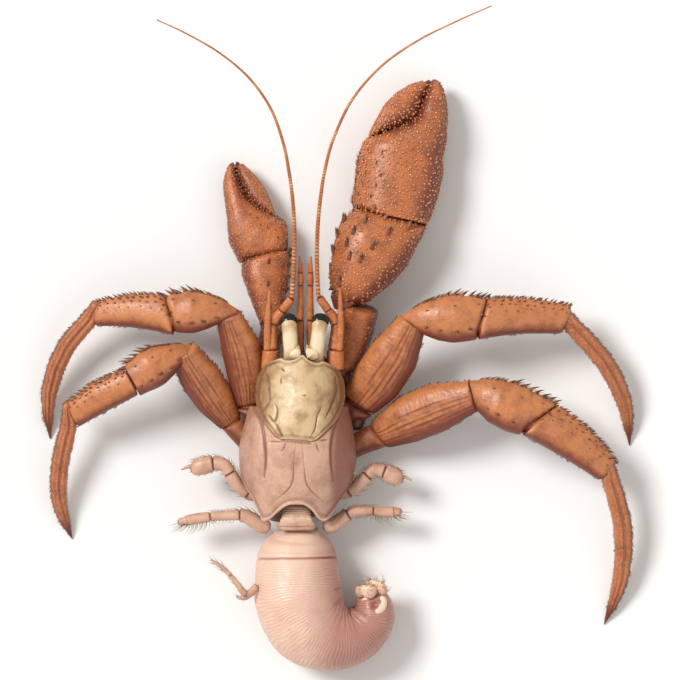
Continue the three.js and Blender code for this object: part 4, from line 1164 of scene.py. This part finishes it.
def make_small_legs(side):
    hairs = Growth(HAIR)

    def fringe(body, turn, start, end, count, length, lean, ragged=0.03):
        hairs.strew(body, turn, start, end, count, 0.085, length, lean, 0.5, ragged, (0.75, 1.2), 0.2)

    fourth = measured(f"leg4_{side}", "thorax", side, soften=0.8)
    grip = [part_of(fourth, *cut, side, hold=(0.3, 0.3)) for cut in FOURTH_CUTS]
    shares = np.linspace(0, 1, 12)
    hook = resampled(fourth, 0.82 + 0.18 * shares)
    fore = across_frames(hook[:, :3], side)[1]
    hook[:, :3] += fore * np.interp(shares, [0, 0.6, 1], [0.6, 0.5, 0.0])[:, None] * MM
    hook[:, 3:] = np.interp(shares, [0, 0.5, 1], [0.62, 0.5, 0.12])[:, None] * MM
    grip.append(Body(hook, side, step=0.15, around=24, root=0.3, tip=0.15))
    build(f"leg4_{side}", grip, soft_shell, "shell_soft", shade=end_lines)
    for body, length in zip(grip[1:4], (2.2, 1.6, 1.2)):
        fringe(body, 0.02, 0.1, 0.98, 9, length, 1.3)
        fringe(body, 0.52, 0.1, 0.98, 4, length * 0.7, 1.2)

    fifth = measured(f"leg5_{side}", "thorax", side, soften=0.8)
    slender = [part_of(fifth, *cut, side, hold=(0.2, 1.2)) for cut in FIFTH_CUTS]
    build(f"leg5_{side}", slender, soft_shell, "shell_soft", shade=end_lines)
    fringe(slender[2], 0.5, 0.0, 1.0, 20, 2.6, 0.2, 0.04)
    fringe(slender[3], 0.5, 0.0, 1.0, 9, 2.8, 1.1, 0.06)
    fringe(slender[1], 0.5, 0.2, 1.0, 8, 1.3, 0.5)
    fringe(slender[1], 0.0, 0.05, 1.0, 10, 1.5, 1.6)
    fringe(slender[0], 0.05, 0.4, 1.0, 7, 2.4, 1.6)
    hairs.make(f"bristles_small_legs_{side}")


for side in SIDES:
    make_small_legs(side)


# ---- abdomen
# Sections along the abdomen, from front to rear: [x, y, z, width, height] in mm from the midline.
ABDOMEN = [
    (-0.7, -41.9, 9.8, 8.0, 7.8), (-0.6, -43.6, 9.3, 11.0, 10.6), (-0.6, -45.6, 8.9, 14.9, 14.2),
    (-0.6, -49.2, 8.6, 18.2, 17.0), (-0.4, -53.6, 8.7, 19.2, 17.8), (0.1, -58.6, 8.7, 20.6, 17.8),
    (2.8, -63.7, 8.5, 20.2, 17.2), (7.8, -66.5, 8.0, 16.6, 16.4), (12.8, -66.0, 7.4, 12.9, 15.0),
    (16.4, -62.4, 7.4, 10.2, 12.6), (16.6, -58.2, 8.0, 7.6, 9.4), (16.4, -57.0, 8.2, 7.0, 8.6),
]
# The inner edge of the bend, [place along the body, aside]. The rings before the bend stay behind it.
INNER_EDGE = np.array([(-62.0, 20.0), (-59.5, 10.1), (-57.0, 9.4), (-52.1, 9.0), (-47.1, 7.8)])
FIRST_LINE = -49.1  # where the line across the abdomen runs, behind its first ring
PIT = (16.9, -59.6)  # the middle of the hollow beside the tail fan, 1 mm in radius


def rings_at(body, s):
    """Fine rings that wander a little, -1 to 1, and how far they wander."""
    wander = 0.5 * body.noise(3.2) + 0.25 * body.noise(1.2)
    return np.sin(TAU * (s / 0.5 + 1.3 * wander)), wander


def lines_at(x, y, share, width):
    """The line behind the first ring, and the hollow beside the tail fan."""
    return bump(y, FIRST_LINE + 0.02 * x, width) * (share < 0.3), bump(np.hypot(x - PIT[0], y - PIT[1]), 0, 1)


def abdomen_relief(body, s, angle):
    """Somite lines, fine rings, wrinkles that gather on the inside of the curl, and soft swellings."""
    share = s / (body.length / MM)
    x, y, _z = (body.grid / MM - MIDLINE).transpose(2, 0, 1)
    curl = np.clip(-np.cos(angle), 0, 1) ** 0.8 * ramp(share, 0.42, 0.67) * ramp(share, 1.02, 0.92)
    rings, wander = rings_at(body, s)
    folds = np.sin(TAU * (s / 1.7 + 0.7 * wander)) * 0.12 * curl
    swell = 0.20 * body.noise(6.0) + 0.06 * body.noise(1.8)
    line, hollow = lines_at(x, y, share, 0.2)
    line = -0.42 * line + 0.16 * bump(y, FIRST_LINE + 0.7, 0.5) * (share < 0.3)
    rings *= (0.04 + 0.035 * body.noise(2.0)) * np.clip(FIRST_LINE + 0.3 - y, 0.3, 1)
    return rings + folds + swell + line - 0.9 * hollow * (np.sin(angle) > 0)


def abdomen_shade(body, share, turn, points):
    """Painted shade along the rings' lines and the first line, in the hollow, and on the right flank away
    from the light.
    """
    x, y, z = (points / MM - MIDLINE).T
    fine = np.clip(-rings_at(body, body.run[:, None] / MM)[0], 0, 1).ravel()
    fine = np.append(fine, [0, 0])
    line, hollow = lines_at(x, y, share, 0.25)
    flank = ramp(x, 1, 8) * ramp(share, 0.02, 0.12)
    return 0.40 * fine * np.clip(share / 0.25, 0.2, 1) + 0.9 * line + hollow * (z > 9) + 0.95 * flank


def abdomen_mark(_body, share, turn, _points):
    return np.clip(0.55 + 0.45 * np.sin(turn * TAU), 0, 1) * (1 - share * 0.6)


def make_abdomen():
    body = Body(
        body_rows(ABDOMEN, 240), step=0.13, around=160, square=2.05, root=1.2, tip=1.3, relief=abdomen_relief,
    )
    x, y, _z = (body.grid / MM - MIDLINE).transpose(2, 0, 1)
    beyond = np.clip(x - np.interp(y, *INNER_EDGE.T), 0, None)
    body.grid[..., 0] -= 0.9 * beyond * (body.u[:, None] < 0.62) * MM
    nodes = ["abdomen_front", "abdomen_middle", "abdomen_rear"]
    build("abdomen_skin", [body], skin, "flesh", abdomen_mark, abdomen_shade, nodes)


# The small plate between the carapace and the abdomen, in the same way.
TERGITE = [
    (-0.6, -36.9, 13.5, 5.4, 2.6), (-0.7, -38.6, 13.6, 6.1, 2.9), (-0.75, -40.4, 13.9, 7.1, 2.9),
    (-0.75, -41.8, 14.1, 8.5, 2.5), (-0.75, -42.9, 14.2, 8.6, 1.9),
]


def make_tergite():
    def relief(body, s, angle):
        wave = s / 0.62 + 0.5 * body.noise(2.0)
        return 0.05 * np.sin(TAU * wave) + 0.16 * bump(s, 5.9, 0.3)

    body = Body(body_rows(TERGITE, 60), around=72, step=0.1, square=3.4, tip=0.7, relief=relief)
    # The front of the plate is darker: painted shadow under the rear edge of the carapace.
    build(
        "abdomen_somite1", [body], soft_shell, "shell_soft",
        lambda b, share, *_: 0.55 * np.clip(1 - np.abs(share - 0.6) / 0.5, 0, 1),
        lambda b, share, *_: 0.9 * ramp(share, 0.2, 0) + 0.6 * bump(share, 0.86, 0.05),
    )


# ---- tail fan and pleopod
# The plates at the end of the abdomen, in the same way.
TAIL = {
    "telson": [
        (12.4, -56.8, 11.0, 1.8, 1.2), (13.2, -56.7, 11.3, 2.8, 1.5), (14.2, -56.5, 11.4, 2.6, 1.4),
        (15.4, -56.6, 11.5, 3.2, 1.6), (16.6, -56.8, 11.4, 3.0, 1.5), (17.3, -57.0, 11.2, 2.0, 1.2),
    ],
    "uropod_right": [
        (14.4, -55.0, 10.2, 0.8, 1.0), (16.0, -54.7, 10.6, 1.5, 1.4), (17.4, -55.0, 10.8, 2.0, 1.6),
        (18.5, -56.1, 10.9, 2.3, 1.8), (18.7, -57.5, 11.0, 1.8, 1.6),
    ],
    "uropod_left": [
        (13.6, -57.9, 9.9, 1.2, 1.4), (14.6, -58.5, 10.6, 1.6, 1.6), (15.9, -58.6, 11.2, 1.2, 1.2),
    ],
}
TAIL_RIDGE = [
    (18.3, -57.6, 11.3, 1.2, 1.4), (18.8, -59.0, 11.4, 1.6, 1.6), (18.3, -60.6, 12.2, 1.7, 1.5),
    (17.0, -61.4, 13.0, 1.2, 1.2),
]


def make_tail():
    hairs, granules = Growth(HAIR), Growth(TAIL_GRANULE)
    for name, stations in TAIL.items():
        plate = Body(
            body_rows(stations, 60), step=0.1, around=48, square=2.4, root=0.8, tip=0.8,
            relief=rough_relief((0.06, 0.9)),
        )
        # The plates are darker along both edges: painted shade where they meet and turn away.
        build(
            name, [plate], soft_shell, "shell_pale" if name == "telson" else "horn",
            lambda b, share, *_: 0.6 * np.sin(math.pi * share),
            lambda b, share, turn, _: 0.8 * bump(turn, 0.5, 0.08) + 0.8 * bump(turn, 0.0, 0.08),
        )
        u, a = plate.scattered(0.55, (0.1, 0.95), (0.05, 0.45), 0.8)
        granules.add(plate, u, a, 0.14, 0.16)
        u, a = rng.uniform(0.1, 0.95, 26), rng.normal(math.pi, 0.4, 26)
        hairs.add(plate, u, a, 0.045, rng.uniform(0.6, 1.2, 26), lean=0.2)
        if name == "uropod_right":
            u, height = np.array([(0.05, 1.9), (0.25, 2.4), (0.62, 2.3), (0.66, 2.0), (0.86, 1.6)]).T
            hairs.add(plate, u, math.pi, 0.09, height, lean=-0.7, droop=-0.3)
    ridge = Body(body_rows(TAIL_RIDGE, 40), step=0.1, root=0.6, tip=0.6)
    build("tail_ridge", [ridge], soft_shell, "shell_soft", 0.8, nodes=())
    granules.make("granules_tail")
    hairs.make("bristles_tail")


# The two branches of the pleopod: [x, y, z, half width, half height] in mm.
PLEOPOD_LONG = [
    (-17.9, -55.3, 12.6, 0.9, 0.9), (-20.3, -57.3, 13.0, 0.85, 0.8), (-23.1, -54.1, 13.2, 0.6, 0.55),
    (-25.5, -51.5, 13.2, 0.5, 0.45), (-28.4, -49.5, 13.0, 0.22, 0.22),
]
PLEOPOD_SHORT = [
    (-19.4, -57.1, 12.9, 0.6, 0.55), (-20.7, -58.1, 12.6, 0.55, 0.5), (-22.7, -57.8, 12.4, 0.25, 0.25),
]


def make_pleopod():
    long = curved(PLEOPOD_LONG, 60) * MM
    parts = [part_of(long, *cut) for cut in ((0.0, 0.24), (0.22, 0.62), (0.6, 1.0))]
    parts.append(Body(curved(PLEOPOD_SHORT, 30) * MM, step=0.2, around=24))
    build("pleopod", parts, soft_shell, "shell_soft", shade=end_lines)
    hairs = Growth(HAIR)
    for body, count, length in zip(parts[1:], (24, 44, 30), (1.1, 1.6, 1.2)):
        u, a = rng.uniform(0.15, 0.98, count), rng.uniform(0, TAU, count)
        hairs.add(body, u, a, 0.035, length * rng.uniform(0.6, 1.2, count), lean=1.5, droop=0.3)
    hairs.make("bristles_pleopod")


make_abdomen()
make_tergite()
make_tail()
make_pleopod()


# ---- studio
FRAME_WIDTH = 153 * MM  # what the picture spans at the height of the legs
LEG_HEIGHT = 12 * MM
LENS, SENSOR = 600.0, 36.0
ASIDE = np.array([0.66, -0.1]) * MM  # the picture's middle, from the middle of the CAD


def linked(name, data):
    thing = bpy.data.objects.new(name, data)
    bpy.context.scene.collection.objects.link(thing)
    return thing


def make_studio():
    bpy.ops.mesh.primitive_plane_add(size=24)
    floor = bpy.context.object
    floor.name = "studio_floor"
    floor.data.materials.append(floor_material())
    floor.location.z = -0.02 * MM
    world = bpy.data.worlds.new("studio_light")
    world.use_nodes = True
    sky = world.node_tree.nodes["Background"].inputs
    sky["Color"].default_value = (1.0, 0.99, 0.97, 1)
    sky["Strength"].default_value = 0.62
    bpy.context.scene.world = world
    for name, turn, strength, spread in (("key", (-20, -36, 0), 2.6, 20), ("fill", (25, 40, 0), 0.35, 60)):
        light = bpy.data.lights.new(name, "SUN")
        light.energy, light.angle = strength, math.radians(spread)
        linked(name, light).rotation_euler = np.radians(turn)
    lens = bpy.data.cameras.new("overhead")
    lens.lens, lens.sensor_width, lens.clip_end = LENS, SENSOR, 40
    camera = linked("overhead", lens)
    camera.location = (*(np.mean(cad_box, axis=0)[:2] + ASIDE), LEG_HEIGHT + FRAME_WIDTH * LENS / SENSOR)
    bpy.context.scene.camera = camera
    bpy.context.scene.view_settings.view_transform = "Standard"


make_studio()
